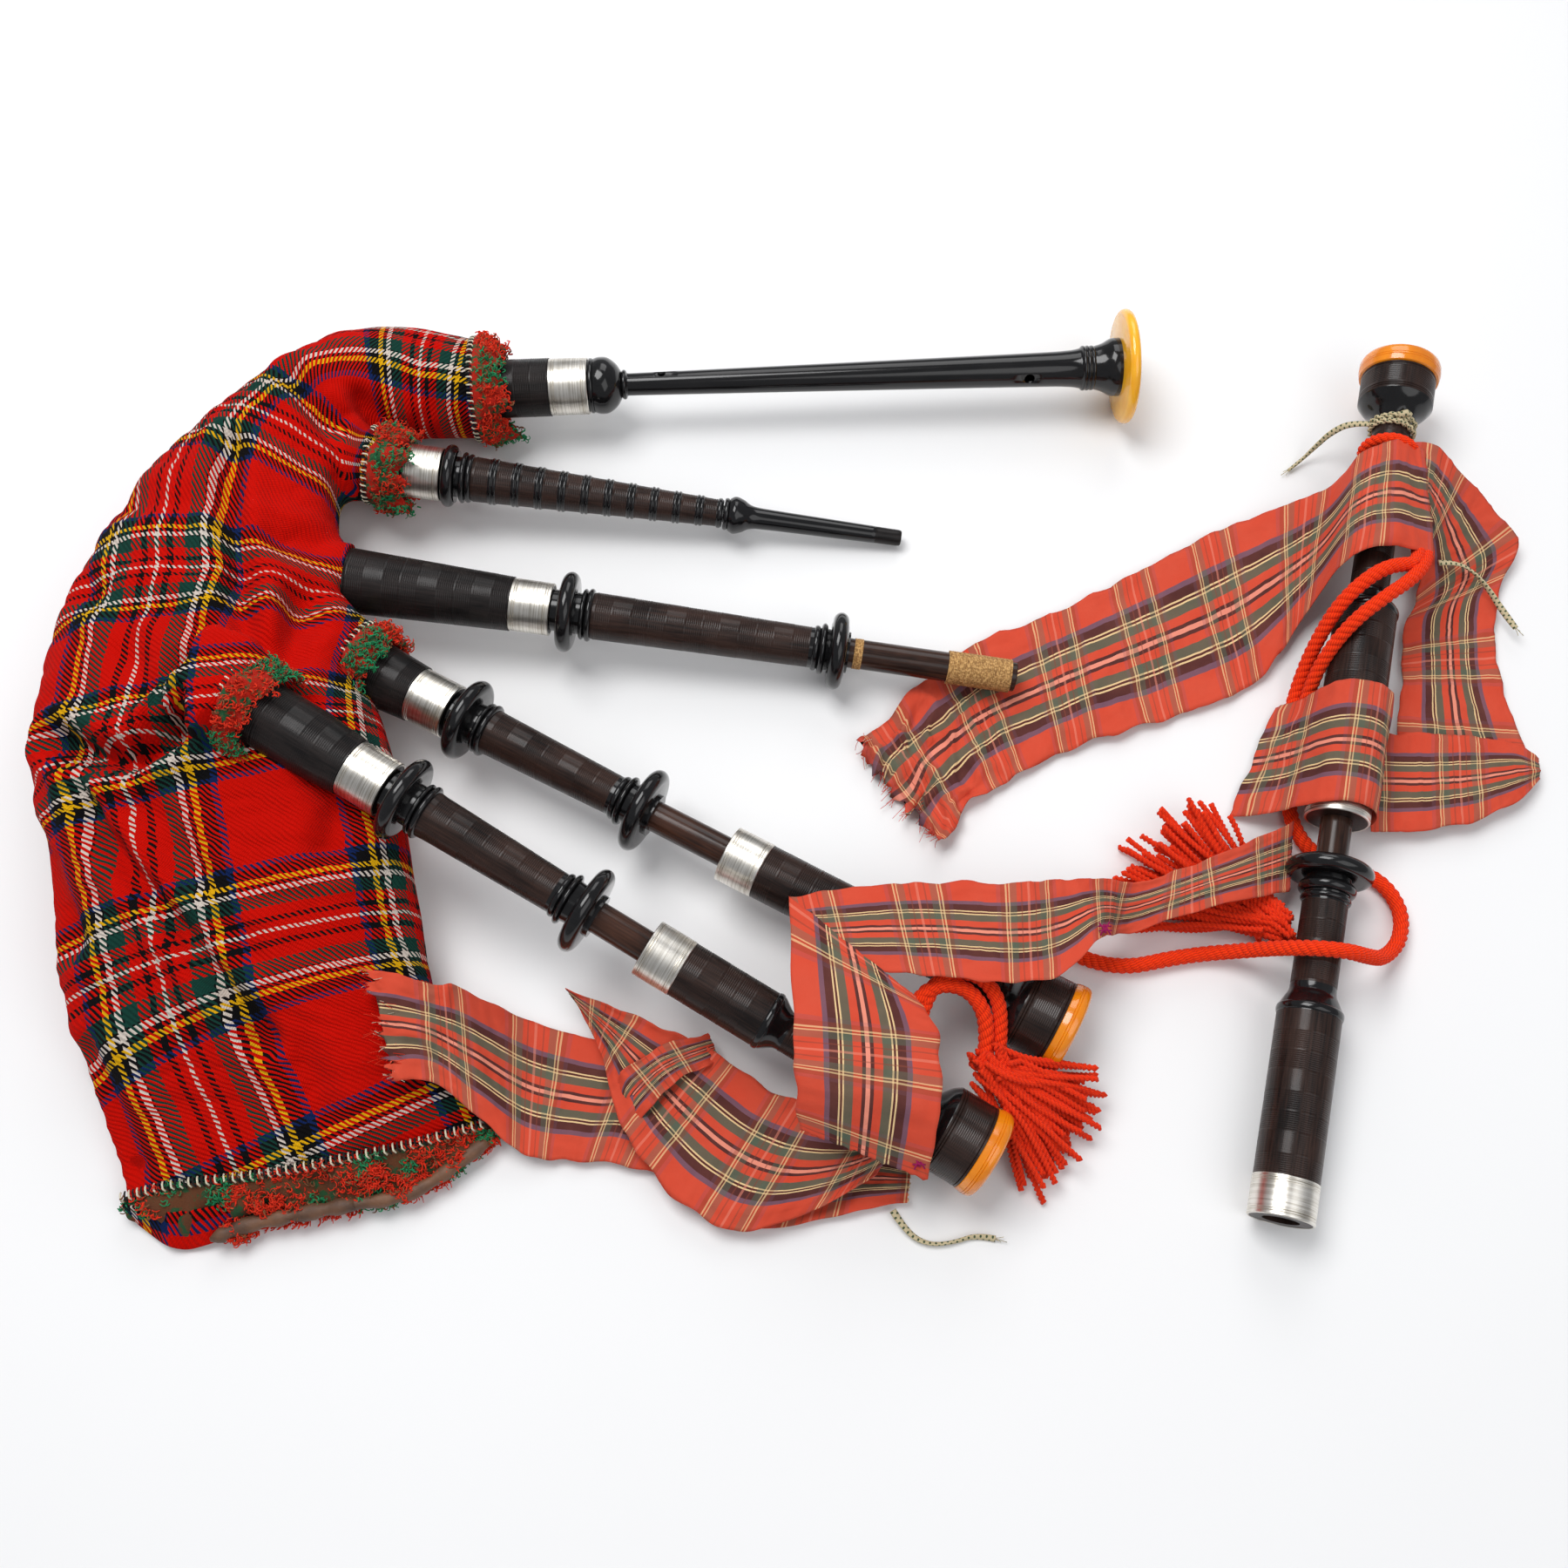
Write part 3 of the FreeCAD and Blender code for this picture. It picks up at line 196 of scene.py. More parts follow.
def nickel():
    """Worn nickel silver: turned rings, a warm tarnish and fine scratches."""
    n = Nodes("nickel_silver")
    rings = n.noise(1.0, (1500, 12, 12), 4)
    tarnish = n.noise(60, detail=6)
    scratches = n.noise(420, (1, 0.08, 1), 4)
    worn = n.math("MULTIPLY_ADD", rings, 0.6, n.math("MULTIPLY", tarnish, 0.4))
    colour, _ = n.ramp(worn, ((0.36, (0.48, 0.44, 0.37)), (0.56, (0.84, 0.81, 0.75))))
    rough = n.level(n.math("MULTIPLY", n.math("ADD", rings, scratches), 0.5), 0.20, 0.44)
    height = n.bump(rings, 0.00005, 0.6, n.bump(scratches, 0.00005, 0.3))
    return n.finish(Base_Color=colour, Metallic=1.0, Roughness=rough, Normal=height)


def amber(name, deep, bright):
    """Polished cast resin with faint clouds in it."""
    n = Nodes(name)
    clouds = n.noise(70, detail=5)
    colour, _ = n.ramp(clouds, ((0.3, deep), (0.7, bright)))
    rough = n.level(n.noise(260, detail=5), 0.10, 0.24)
    return n.finish(Base_Color=colour, Roughness=rough, Coat_Weight=0.4, Coat_Roughness=0.06,
                    Subsurface_Weight=0.12, Subsurface_Radius=(0.004, 0.002, 0.001),
                    Subsurface_Scale=0.5, Normal=n.bump(clouds, 0.00003, 0.3))


def leather():
    """Brown hide, worn lighter in patches."""
    n = Nodes("leather")
    hide = n.noise(700, detail=8, roughness=0.7)
    wear = n.noise(60, detail=4)
    colour, _ = n.ramp(wear, ((0.3, (0.055, 0.026, 0.014)), (0.7, (0.19, 0.085, 0.04))))
    rough = n.level(hide, 0.38, 0.72)
    return n.finish(Base_Color=colour, Roughness=rough, Normal=n.bump(hide, 0.0004, 0.8))


def hemp():
    """Waxed yarn wound round a pin, dirty in places, with pale fibres."""
    n = Nodes("hemp")
    fibres = n.noise(1500, (1, 0.2, 0.2), 6, 0.7)
    dirt = n.noise(160, detail=4)
    light, _ = n.ramp(fibres, ((0.3, (0.20, 0.085, 0.022)), (0.7, (0.62, 0.34, 0.10))))
    spots, _ = n.ramp(n.noise(800, detail=4), ((0.44, (0, 0, 0)), (0.62, (1, 1, 1))))
    worn = n.mix(n.level(dirt, 0.0, 0.6), light, (0.12, 0.05, 0.018))
    colour = n.mix(spots, worn, (0.66, 0.40, 0.15))
    return n.finish(Base_Color=colour, Roughness=0.8, Normal=n.bump(fibres, 0.0004, 0.9))


def cane():
    """Reed cane, with its long fibres."""
    n = Nodes("cane")
    fibres = n.noise(900, (0.06, 1, 1), 6)
    colour, _ = n.ramp(fibres, ((0.3, (0.42, 0.27, 0.09)), (0.7, (0.76, 0.60, 0.30))))
    return n.finish(Base_Color=colour, Roughness=0.45, Normal=n.bump(fibres, 0.0002, 0.6))


# Half a repeat of the cover's check: each yarn colour, and how far from the white centre line
# it starts, in millimetres.
WHITE, YELLOW = (0.80, 0.74, 0.66), (0.88, 0.50, 0.008)
RED, BLACK = (0.70, 0.006, 0.002), (0.007, 0.007, 0.008)
GREEN, NAVY = (0.010, 0.060, 0.045), (0.008, 0.024, 0.115)
COVER_CHECK = (
    (0.0, WHITE), (1.0, RED), (5.4, BLACK), (9.0, RED), (16.0, GREEN), (24.4, BLACK),
    (25.4, WHITE), (28.9, BLACK), (31.8, YELLOW), (35.5, BLACK), (42.5, NAVY), (46.5, RED),
)
COVER_REPEAT = 152
COVER_TWILL = 0.0031

# Half a repeat of the ribbon's check across it, from its pink centre line out, and along it,
# where each colour's last number is how much of it shows over the lengthwise yarn.
ORANGE, CREAM = (0.60, 0.052, 0.021), (0.74, 0.54, 0.27)
VIOLET, MAROON = (0.13, 0.065, 0.105), (0.040, 0.007, 0.010)
SAGE, ROSE = (0.075, 0.090, 0.060), (0.78, 0.26, 0.18)
TEAL, BROWN = (0.02, 0.12, 0.085), (0.18, 0.036, 0.022)
RIBBON_ACROSS = (
    (0.0, ROSE), (1.0, MAROON), (2.6, ORANGE), (6.4, SAGE), (10.4, CREAM), (11.2, MAROON),
    (12.2, CREAM), (13.0, MAROON), (16.8, VIOLET), (19.2, ORANGE),
)
RIBBON_ALONG = (
    (0.0, (*ROSE, 0.40)), (0.6, (*BROWN, 0.0)), (3.4, (*BROWN, 0.50)), (4.1, (*BROWN, 0.0)),
    (6.4, (*TEAL, 0.40)), (9.8, (*CREAM, 0.62)), (10.5, (*BROWN, 0.3)), (11.3, (*CREAM, 0.62)),
    (12.2, (*BROWN, 0.45)), (14.6, (*VIOLET, 0.22)), (16.6, (*ORANGE, 0.0)),
)
RIBBON_WIDTH = 0.064
RIBBON_REPEAT = 55


def stripes(n, along, repeat, stops):
    """The colour of a mirrored run of stripes at a distance along the cloth. The stops and
    the repeat are in millimetres."""
    half = repeat / 2
    share = n.math("DIVIDE", n.math("PINGPONG", along, half * MM), half * MM)
    shares = [(start / half, colour) for start, colour in stops]
    return n.ramp(share, shares, stepped=True)


def cover_cloth():
    """Thick wool twill: each diagonal rib shows the warp, and each gap between ribs the weft."""
    n = Nodes("cover_cloth")
    across, along = n.weave()
    warp, _ = stripes(n, across, COVER_REPEAT, COVER_CHECK)
    weft, _ = stripes(n, along, COVER_REPEAT, COVER_CHECK)
    wide, long = n.weave("rib")
    diagonal = n.math("DIVIDE", n.math("SUBTRACT", wide, long), COVER_TWILL)
    wave = n.math("SINE", n.math("MULTIPLY", diagonal, 2 * math.pi))
    rib = n.ramp(n.level(wave, 0.5, 1.0), ((0.42, (0, 0, 0)), (0.58, (1, 1, 1))))[0]
    yarns = n.mix(rib, warp, weft)
    fuzz = n.noise(1800, detail=5, roughness=0.7)
    patches = n.noise(22, detail=3)
    matted = n.mix(n.level(fuzz, 0.05, 0.40), yarns, (0.0, 0.0, 0.0))
    colour = n.mix(n.level(patches, 0.0, 0.30), matted, (0.85, 0.5, 0.4), "MULTIPLY")
    cross = n.math("SINE", n.math("MULTIPLY", n.math("ADD", wide, long), 4200.0))
    relief = n.math("ADD", n.level(wave, 0.0, 0.6), n.math("MULTIPLY", cross, 0.2))
    relief = n.math("ADD", relief, n.math("MULTIPLY", fuzz, 0.9))
    return n.finish(Base_Color=colour, Roughness=0.95, Sheen_Weight=0.01, Sheen_Roughness=0.5,
                    Specular_IOR_Level=0.04, Normal=n.bump(relief, 0.0006, 0.75))


def ribbon_cloth():
    """Thin plain-woven cotton, a little faded and handled."""
    n = Nodes("ribbon_cloth")
    across, along = n.weave()
    warp, _ = stripes(n, across, RIBBON_WIDTH / MM, RIBBON_ACROSS)
    weft, shows = stripes(n, along, RIBBON_REPEAT, RIBBON_ALONG)
    yarns = n.mix(shows, warp, weft)
    fine = n.math("SINE", n.math("MULTIPLY", across, 9000.0))
    fine = n.math("MULTIPLY", fine, n.math("SINE", n.math("MULTIPLY", along, 9000.0)))
    fade = n.noise(45, detail=4)
    colour = n.mix(n.level(fade, 0.0, 0.16), yarns, (0.75, 0.26, 0.17))
    wrinkle = n.noise(160, detail=5, roughness=0.6)
    creases = n.noise(55, detail=2)
    height = n.bump(fine, 0.0001, 0.35, n.bump(wrinkle, 0.0010, 0.4))
    height = n.bump(creases, 0.0030, 0.35, height)
    return n.finish(Base_Color=colour, Roughness=0.82, Sheen_Weight=0.03,
                    Specular_IOR_Level=0.18, Normal=height)


def tape_cloth():
    """Flat cotton tape: cream, with rows of short dark bars each side of a dark thread."""
    n = Nodes("cotton_tape")
    around, along = n.weave()
    bar = n.math("SINE", n.math("MULTIPLY", along, 2 * math.pi / 0.0031))
    side = n.math("SINE", n.math("MULTIPLY", around, 4 * math.pi))
    dark = n.math("GREATER_THAN", n.math("MULTIPLY", bar, side), 0.42)
    fuzz = n.noise(1500, detail=5)
    colour = n.mix(dark, (0.66, 0.56, 0.35), (0.035, 0.075, 0.040))
    shaded = n.mix(n.level(fuzz, 0.0, 0.4), colour, (0.16, 0.13, 0.07))
    return n.finish(Base_Color=shaded, Roughness=0.9, Specular_IOR_Level=0.15,
                    Normal=n.bump(fuzz, 0.0004, 0.7))


def yarn(name, dark, light, twist=900.0):
    """Spun yarn: fine fibres wound round each strand, with painted shade in the grooves of the
    twist. The weave map is round and along it.
    """
    n = Nodes(name)
    around, along = n.weave()
    spiral = n.math("ADD", n.math("MULTIPLY", around, 5.0), n.math("MULTIPLY", along, twist))
    wave = n.math("SINE", n.math("MULTIPLY", spiral, 2 * math.pi))
    fuzz = n.noise(2200, detail=5, roughness=0.7)
    # Painted shade mixed with a random fibre tone: the colour follows the twist wave that also
    # raises the bump, so each strand is darker in its grooves and lighter on its crests.
    depth = n.math("MULTIPLY", n.math("ADD", n.level(wave, 0.5, 0.8), fuzz), 0.55)
    colour, _ = n.ramp(depth, ((0.25, dark), (0.6, light)))
    height = n.math("ADD", n.math("MULTIPLY", wave, 0.3), fuzz)
    return n.finish(Base_Color=colour, Roughness=0.9, Sheen_Weight=0.04,
                    Specular_IOR_Level=0.12, Normal=n.bump(height, 0.0005, 0.7))


def felt(name, base, other, share):
    """Matted wool in two colours, mixed in patches."""
    n = Nodes(name)
    patches = n.noise(150, detail=5, roughness=0.65)
    fuzz = n.noise(1600, detail=6, roughness=0.75)
    colour, _ = n.ramp(patches, ((share - 0.03, base), (share + 0.03, other)))
    shaded = n.mix(n.level(fuzz, 0.0, 0.7), colour, (0.02, 0.01, 0.005))
    return n.finish(Base_Color=shaded, Roughness=0.95, Sheen_Weight=0.04,
                    Specular_IOR_Level=0.1, Normal=n.bump(fuzz, 0.0012, 0.9))


def floor_paper():
    n = Nodes("floor_paper")
    shade = n.level(n.noise(3.0), 0.84, 0.87)
    return n.finish(Base_Color=n.mix(shade, (0, 0, 0), (1, 1, 1)), Roughness=0.9)


COMBED = wood("blackwood_combed", (0.008, 0.0055, 0.005), (0.040, 0.021, 0.016), 0.34, 0.15)
STOCK_WOOD = wood("blackwood_stock", (0.006, 0.0055, 0.0055), (0.022, 0.017, 0.016), 0.36, 0.1)
PIN_WOOD = wood("blackwood_pin", (0.016, 0.008, 0.006), (0.062, 0.026, 0.016), 0.22, 0.3)
GLOSS = wood("black_polish", (0.0035, 0.0035, 0.004), (0.008, 0.0075, 0.008), 0.13, 0.6)
NICKEL = nickel()
AMBER = amber("amber_resin", (0.70, 0.19, 0.003), (0.88, 0.28, 0.006))
SOLE_AMBER = amber("amber_sole", (0.92, 0.40, 0.012), (0.98, 0.50, 0.022))
LEATHER = leather()
HEMP = hemp()
CANE = cane()
COVER = cover_cloth()
RIBBON = ribbon_cloth()
CORD = yarn("cord_yarn", (0.42, 0.006, 0.001), (0.98, 0.050, 0.006))
TASSEL = yarn("tassel_yarn", (0.46, 0.008, 0.002), (0.99, 0.048, 0.008), 1400.0)
TAPE = tape_cloth()
LIGHT_STITCH = yarn("stitch_light", (0.42, 0.36, 0.22), (0.85, 0.80, 0.62))
DARK_STITCH = yarn("stitch_dark", (0.004, 0.004, 0.004), (0.02, 0.02, 0.02))
MAGENTA_STITCH = yarn("stitch_magenta", (0.16, 0.003, 0.04), (0.40, 0.012, 0.12))
LINING = felt("cuff_lining", (0.02, 0.16, 0.06), (0.72, 0.020, 0.008), 0.47)
OLD_WOOL = felt("old_wool", (0.03, 0.13, 0.05), (0.20, 0.07, 0.03), 0.46)
BELL = wood("blackwood_bell", (0.010, 0.006, 0.005), (0.034, 0.018, 0.014), 0.30, 0.3)
RED_TUFT = yarn("tuft_red", (0.50, 0.010, 0.004), (0.95, 0.045, 0.012))
GREEN_TUFT = yarn("tuft_green", (0.008, 0.10, 0.035), (0.025, 0.34, 0.13))
BROWN_TUFT = yarn("tuft_brown", (0.10, 0.03, 0.012), (0.30, 0.12, 0.05))

SLOT_MATERIALS = {
    "blackwood": COMBED, "black_mount": GLOSS, "nickel_silver": NICKEL, "amber_resin": AMBER,
    "hemp": HEMP, "cane": CANE, "leather": LEATHER, "cover_cloth": COVER,
    "ribbon_cloth": RIBBON, "cord_yarn": CORD, "cotton_tape": TAPE,
}


def dress_cad_nodes():
    """Gives every CAD node a material, for those that stay in view or show in a gap."""
    for entry in frame["record"]["subparts"]:
        thing = frame["nodes"][entry["node"]]
        for place in thing.material_slots:
            place.material = SLOT_MATERIALS[entry["material_slot"]]


# --- mesh building -----------------------------------------------------------------------------


def piece(thing, body, slot, *nodes):
    """Puts a piece on the body that it rides on, and hides the CAD nodes that it stands for. slot
    is not used.
    """
    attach(thing, body)
    if nodes:
        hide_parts(*nodes)
    return thing


def metres(points):
    """Points given in millimetres, as vectors in metres."""
    return [Vector([value * MM for value in point]) for point in points]


def angles(count, whole=False):
    """Angles evenly round a turn. A whole turn ends where it began."""
    return [2 * math.pi * step / count for step in range(count + whole)]


def limited(value, low=0.0, high=1.0):
    return min(high, max(low, value))


def noise_at(x, y, z):
    """Smooth noise between -1 and 1."""
    return noise.noise(Vector((x, y, z)))


def shaken(dice, low, high):
    """A vector with each part drawn between two values."""
    return Vector([dice.uniform(low, high) for _ in range(3)])


def above(spot, height):
    """Keeps a point at least a height in metres over the ground."""
    spot.z = max(spot.z, height)
    return spot


def around(items, index):
    """The items before and after an index, or the item itself past an end."""
    return items[max(index - 1, 0)], items[min(index + 1, len(items) - 1)]


def part_way(points, place):
    """The point at a place between two whole indices."""
    index = int(place)
    return points[index].lerp(points[index + 1], place - index)


def heading(path, index):
    before, after = around(path, index)
    return (after - before).normalized()


def carried(path):
    """Each point of a path with two directions square to it, carried along without a twist."""
    across = (path[1] - path[0]).normalized().orthogonal().normalized()
    for index, point in enumerate(path):
        ahead = heading(path, index)
        across = (across - ahead * across.dot(ahead)).normalized()
        yield point, across, ahead.cross(across)


def through(points, steps):
    """A smooth line through points, with steps between each two."""
    points = [Vector(point) for point in points]
    last = len(points) - 1
    made = []
    for index in range(last):
        p = [points[min(max(index + k, 0), last)] for k in (-1, 0, 1, 2)]
        for step in range(steps):
            t = step / steps
            made.append(0.5 * (2 * p[1] + (p[2] - p[0]) * t
                               + (2 * p[0] - 5 * p[1] + 4 * p[2] - p[3]) * t**2
                               + (3 * p[1] - p[0] - 3 * p[2] + p[3]) * t**3))
    made.append(points[last])
    return made


class Sculpt:
    """Gathers points (in metres) and faces with weave coordinates, and makes one mesh object."""

    def __init__(self, name):
        self.name = name
        self.points = []
        self.faces = []
        self.weaves = []
        self.finishes = []
        self.materials = []

    def face(self, corners, weave, material):
        if material not in self.materials:
            self.materials.append(material)
        self.faces.append(corners)
        self.weaves.extend(weave)
        self.finishes.append(self.materials.index(material))

    def sweep(self, path, radius, sides, material, taper=None):
        """A closed tube along a path of points in metres. radius is in millimetres."""
        rings, marks = [], []
        travelled = 0.0
        for index, (point, across, over) in enumerate(carried(path)):
            if index:
                travelled += (point - path[index - 1]).length
            size = radius * MM * (taper(index / (len(path) - 1)) if taper else 1.0)
            rings.append([point + (across * math.cos(a) + over * math.sin(a)) * size
                          for a in angles(sides)])
            marks.append([(side / sides, travelled) for side in range(sides + 1)])
        self.tube(rings, marks, material)

    def tube(self, rings, marks, material):
        """A closed skin over rings of points, with a flat cap on each end."""
        first, sides = len(self.points), len(rings[0])
        last = first + (len(rings) - 1) * sides
        self.grid(rings, marks, material, closed=True)
        self.face(tuple(reversed(range(first, first + sides))), [marks[0][0]] * sides, material)
        self.face(tuple(range(last, last + sides)), [marks[-1][0]] * sides, material)

    def grid(self, rows, weave, material, closed=False):
        """A sheet of quads through rows of points. weave gives (across, along) for each point,
        and for a closed sheet for the first one again."""
        first = len(self.points)
        width = len(rows[0])
        for row in rows:
            self.points.extend(row)
        for row in range(len(rows) - 1):
            for side in range(width if closed else width - 1):
                beside = (side + 1) % width
                corners = ((row, side), (row, beside), (row + 1, beside), (row + 1, side))
                marks = ((row, side), (row, side + 1), (row + 1, side + 1), (row + 1, side))
                self.face(tuple(first + r * width + s for r, s in corners),
                          [weave[r][s] for r, s in marks], material)

    def build(self, sharp=None):
        mesh = bpy.data.meshes.new(self.name)
        mesh.from_pydata([tuple(p) for p in self.points], [], self.faces)
        for material in self.materials:
            mesh.materials.append(material)
        mesh.polygons.foreach_set("material_index", self.finishes)
        mesh.polygons.foreach_set("use_smooth", [True] * len(self.faces))
        layer = mesh.uv_layers.new(name="weave")
        layer.data.foreach_set("uv", [value for mark in self.weaves for value in mark])
        mesh.update()
        if sharp:
            mesh.set_sharp_from_angle(angle=math.radians(sharp))
        thing = bpy.data.objects.new(self.name, mesh)
        bpy.context.collection.objects.link(thing)
        return thing


def apply_modifiers(thing):
    """Bakes an object's modifiers into its mesh."""
    view = bpy.context.evaluated_depsgraph_get()
    made = bpy.data.meshes.new_from_object(thing.evaluated_get(view))
    thing.modifiers.clear()
    thing.data = made
    return thing


def thicken(thing, thick, levels):
    """Gives a sheet its thickness, and rounds it off if levels is more than 0."""
    skin = thing.modifiers.new("thickness", "SOLIDIFY")
    skin.thickness, skin.offset = thick, 0.0
    if levels:
        sub = thing.modifiers.new("fine", "SUBSURF")
        sub.levels = sub.render_levels = levels
    return apply_modifiers(thing)


RIBBON_THICK, WOOL_THICK, FELT_THICK = 0.0005, 0.0020, 0.0022


def cloth_piece(shape, slot, *nodes, thick=RIBBON_THICK, levels=0):
    """A sheet made solid, as a piece that rides on the root. thick is in metres."""
    return piece(thicken(shape.build(), thick, levels), "root", slot, *nodes)


# --- turned pieces -----------------------------------------------------------------------------

SIDES = 96
BORE = 4.5
SOCKET = 9.5
PIN = 8.6
TENON_END = -28
MOUNT_SEAT = 12.0


def lathe(name, pipe, outline, body, slot, nodes):
    """Turns a closed outline of (station, radius, material) about the pipe. A side of the
    outline takes the material of the corner that it ends on."""
    shape = Sculpt(name)
    count = len(outline)
    for station, radius, _ in outline:
        for angle in angles(SIDES):
            spot = (station, radius * math.cos(angle), radius * math.sin(angle))
            shape.points.append(Vector(spot) * MM)
    for index in range(count):
        after = (index + 1) % count
        for side in range(SIDES):
            beside = (side + 1) % SIDES
            corners = (index * SIDES + side, after * SIDES + side,
                       after * SIDES + beside, index * SIDES + beside)
            turn = side / SIDES
            start, stop = outline[index][0] * MM, outline[after][0] * MM
            weave = ((turn, start), (turn, stop), (turn, stop), (turn, start))
            shape.face(corners, weave, outline[after][2])
    thing = shape.build(sharp=38)
    thing.matrix_world = pipe.frame
    return piece(thing, body, slot, *nodes)


def line(material, *corners):
    """Corners of an outline, all in one material."""
    return [(station, radius, material) for station, radius in corners]


def bead(material, start, stop, base, height, steps=10):
    """A rounded bump on a radius."""
    middle, half = (start + stop) / 2, (stop - start) / 2
    corners = []
    for step in range(steps + 1):
        angle = math.pi * (1 - step / steps)
        corners.append((middle + half * math.cos(angle), base + height * math.sin(angle)))
    return line(material, *corners)


def groove(material, station, radius, width=0.5, depth=0.35):
    """A small V cut into a radius."""
    return line(material, (station - width / 2, radius), (station, radius - depth),
                (station + width / 2, radius))


def swell(material, knots, steps=6):
    """A smooth outline through its knots."""
    return line(material, *through(knots, steps))


COMB_BAND = 10.5
COMB_PITCH = 1.05
COMB_MARGIN = 0.5
COMB_DEPTHS = (0.20, 0.09, 0.26)


def comb(material, start, stop, first, last):
    """Fine turned grooves in bands: every other band is cut deeper than its neighbours."""
    bands = max(1, round((stop - start) / COMB_BAND))
    width = (stop - start) / bands
    cut_width = width - 2 * COMB_MARGIN
    cuts = int(cut_width / COMB_PITCH)
    corners = [(start, first)]
    for band in range(bands):
        depth = COMB_DEPTHS[band % len(COMB_DEPTHS)]
        left = start + band * width + COMB_MARGIN
        for cut in range(cuts):
            for share, dip in ((0.0, 0.0), (0.45, depth), (0.9, 0.0)):
                station = left + (cut + share) * cut_width / cuts
                radius = first + (last - first) * (station - start) / (stop - start)
                corners.append((station, radius - dip))
    return line(material, *corners, (stop, last))


FERRULE_WALL = 1.2
FERRULE_EDGE = 0.35


def ferrule(name, pipe, start, stop, radius, body, node):
    """A nickel sleeve with a pair of engraved lines near each end."""
    edge, inner = FERRULE_EDGE, radius - FERRULE_WALL
    outline = line(NICKEL, (start, inner), (start, radius - edge), (start + edge, radius))
    for station in (start + 2.1, start + 3.3, stop - 3.3, stop - 2.1):
        outline += groove(NICKEL, station, radius)
    outline += line(NICKEL, (stop - edge, radius), (stop, radius - edge), (stop, inner))
    lathe(name, pipe, outline, body, "nickel_silver", [node])


def projecting_mount(start, width, radius, seat):
    """A mount's outline: a rounded rim standing on a narrower collar each side."""
    rim = width * 0.5
    outline = line(GLOSS, (start, seat), (start, seat + 3.5), (start + 0.4, radius - rim - 1.2))
    outline += bead(GLOSS, start + 0.4, start + width - 0.4, radius - rim, rim, 14)
    outline += line(GLOSS, (start + width - 0.4, radius - rim - 1.2),
                    (start + width, seat + 3.5), (start + width, seat))
    return outline


def make_stocks():
    """The five stocks that are tied into the bag, each with its ferrule."""
    shapes = (
        ("chanter", CHANTER, 98, 17.5, 24.5, 17.5, 23.5, 17.0),
        ("blowpipe", BLOWPIPE, 88, 16.6, 22.5, 16.6, 21.5, 15.8),
        ("bass", BASS, 148, 18.8, 116, 15.8, 23.4, 15.2),
        ("tenor_1", TENOR_1, 108, 18.5, 50, 16.5, 23.5, 15.8),
        ("tenor_2", TENOR_2, 108, 18.5, 50, 16.5, 23.5, 15.8),
    )
    for name, pipe, length, radius, shoulder, mouth, sleeve, sleeve_radius in shapes:
        seat = sleeve_radius - FERRULE_WALL
        outline = line(STOCK_WOOD, (-length, SOCKET), (-length, radius))
        if shoulder > sleeve + 1:
            outline += comb(STOCK_WOOD, -length + 1, -shoulder, radius, radius)
            outline += comb(STOCK_WOOD, -shoulder, -sleeve, radius, mouth)
        else:
            outline += comb(STOCK_WOOD, -length + 1, -sleeve, radius, mouth)
        outline += line(STOCK_WOOD, (-sleeve, seat), (-0.2, seat), (-0.2, SOCKET))
        lathe(name + "_stock_turning", pipe, outline, "root", "blackwood", [name + "_stock"])
        ferrule(name + "_stock_sleeve", pipe, -sleeve, 0, sleeve_radius, "root",
                name + "_stock_ferrule")


def make_chanter():
    """The chanter with its bulb, rings and holes, and its sole."""
    small, large, tenon = 2.6, 9.6, 8.9
    outline = line(GLOSS, (TENON_END, small), (TENON_END, tenon), (0.6, tenon), (0.6, 15.6))
    outline += bead(GLOSS, 0.6, 3.4, 15.6, 1.0, 6)
    outline += swell(GLOSS, ((3.6, 16.2), (7, 17.1), (12, 16.6), (17, 13.0), (20, 8.6)))
    outline += bead(GLOSS, 20.4, 23.4, 7.4, 1.6, 8)
    outline += swell(GLOSS, ((24, 6.8), (40, 6.9), (170, 8.7), (270, 10.2), (294, 10.9),
                             (302, 12.0)))
    for start in (303.0, 305.6, 308.2):
        outline += bead(GLOSS, start, start + 2.2, 12.8, 0.7, 6)
    outline += swell(GLOSS, ((311, 13.0), (316, 14.6), (321, 17.2), (326, 17.6)))
    outline += line(GLOSS, (326, 12.5), (334, 12.5), (334, large), (326, large))
    body = lathe("chanter_turning", CHANTER, outline, "chanter", "blackwood", ["chanter"])
    drill_holes(body)

    sole = line(SOLE_AMBER, (326, 12.5), (326, 29.5), (326.6, 31.0))
    sole += bead(SOLE_AMBER, 326.6, 333.4, 31.2, 3.3, 14)
    sole += line(SOLE_AMBER, (333.4, 30.6), (334, 29.0), (334, 20.0), (333.2, 18.5),
                 (333.2, 12.5))
    lathe("sole_turning", CHANTER, sole, "chanter", "amber_resin", ["chanter_sole"])


THUMB_ANGLE = -22


def drill_holes(body):
    """Cuts the thumb hole, finger holes and sound holes out of the chanter."""
    places = [(45, THUMB_ANGLE, 2.6)]
    places += [(60 + 26 * count, THUMB_ANGLE + 180, 2.6) for count in range(7)]
    places += [(270, THUMB_ANGLE + 90, 3.2), (270, THUMB_ANGLE - 90, 3.2)]
    drills = Sculpt("drills")
    for station, angle, radius in places:
        turn = math.radians(angle)
        out = Vector((0, -math.sin(turn), math.cos(turn)))
        foot = Vector((station, 0, 0))
        path = [(foot + out * reach) * MM for reach in (1.0, 25.0)]
        drills.sweep(path, radius, 24, GLOSS)
    tool = drills.build()
    tool.matrix_world = body.matrix_world
    cut = body.modifiers.new("holes", "BOOLEAN")
    cut.operation, cut.object, cut.solver = "DIFFERENCE", tool, "EXACT"
    bpy.context.view_layer.update()
    apply_modifiers(body)
    bpy.data.objects.remove(tool)


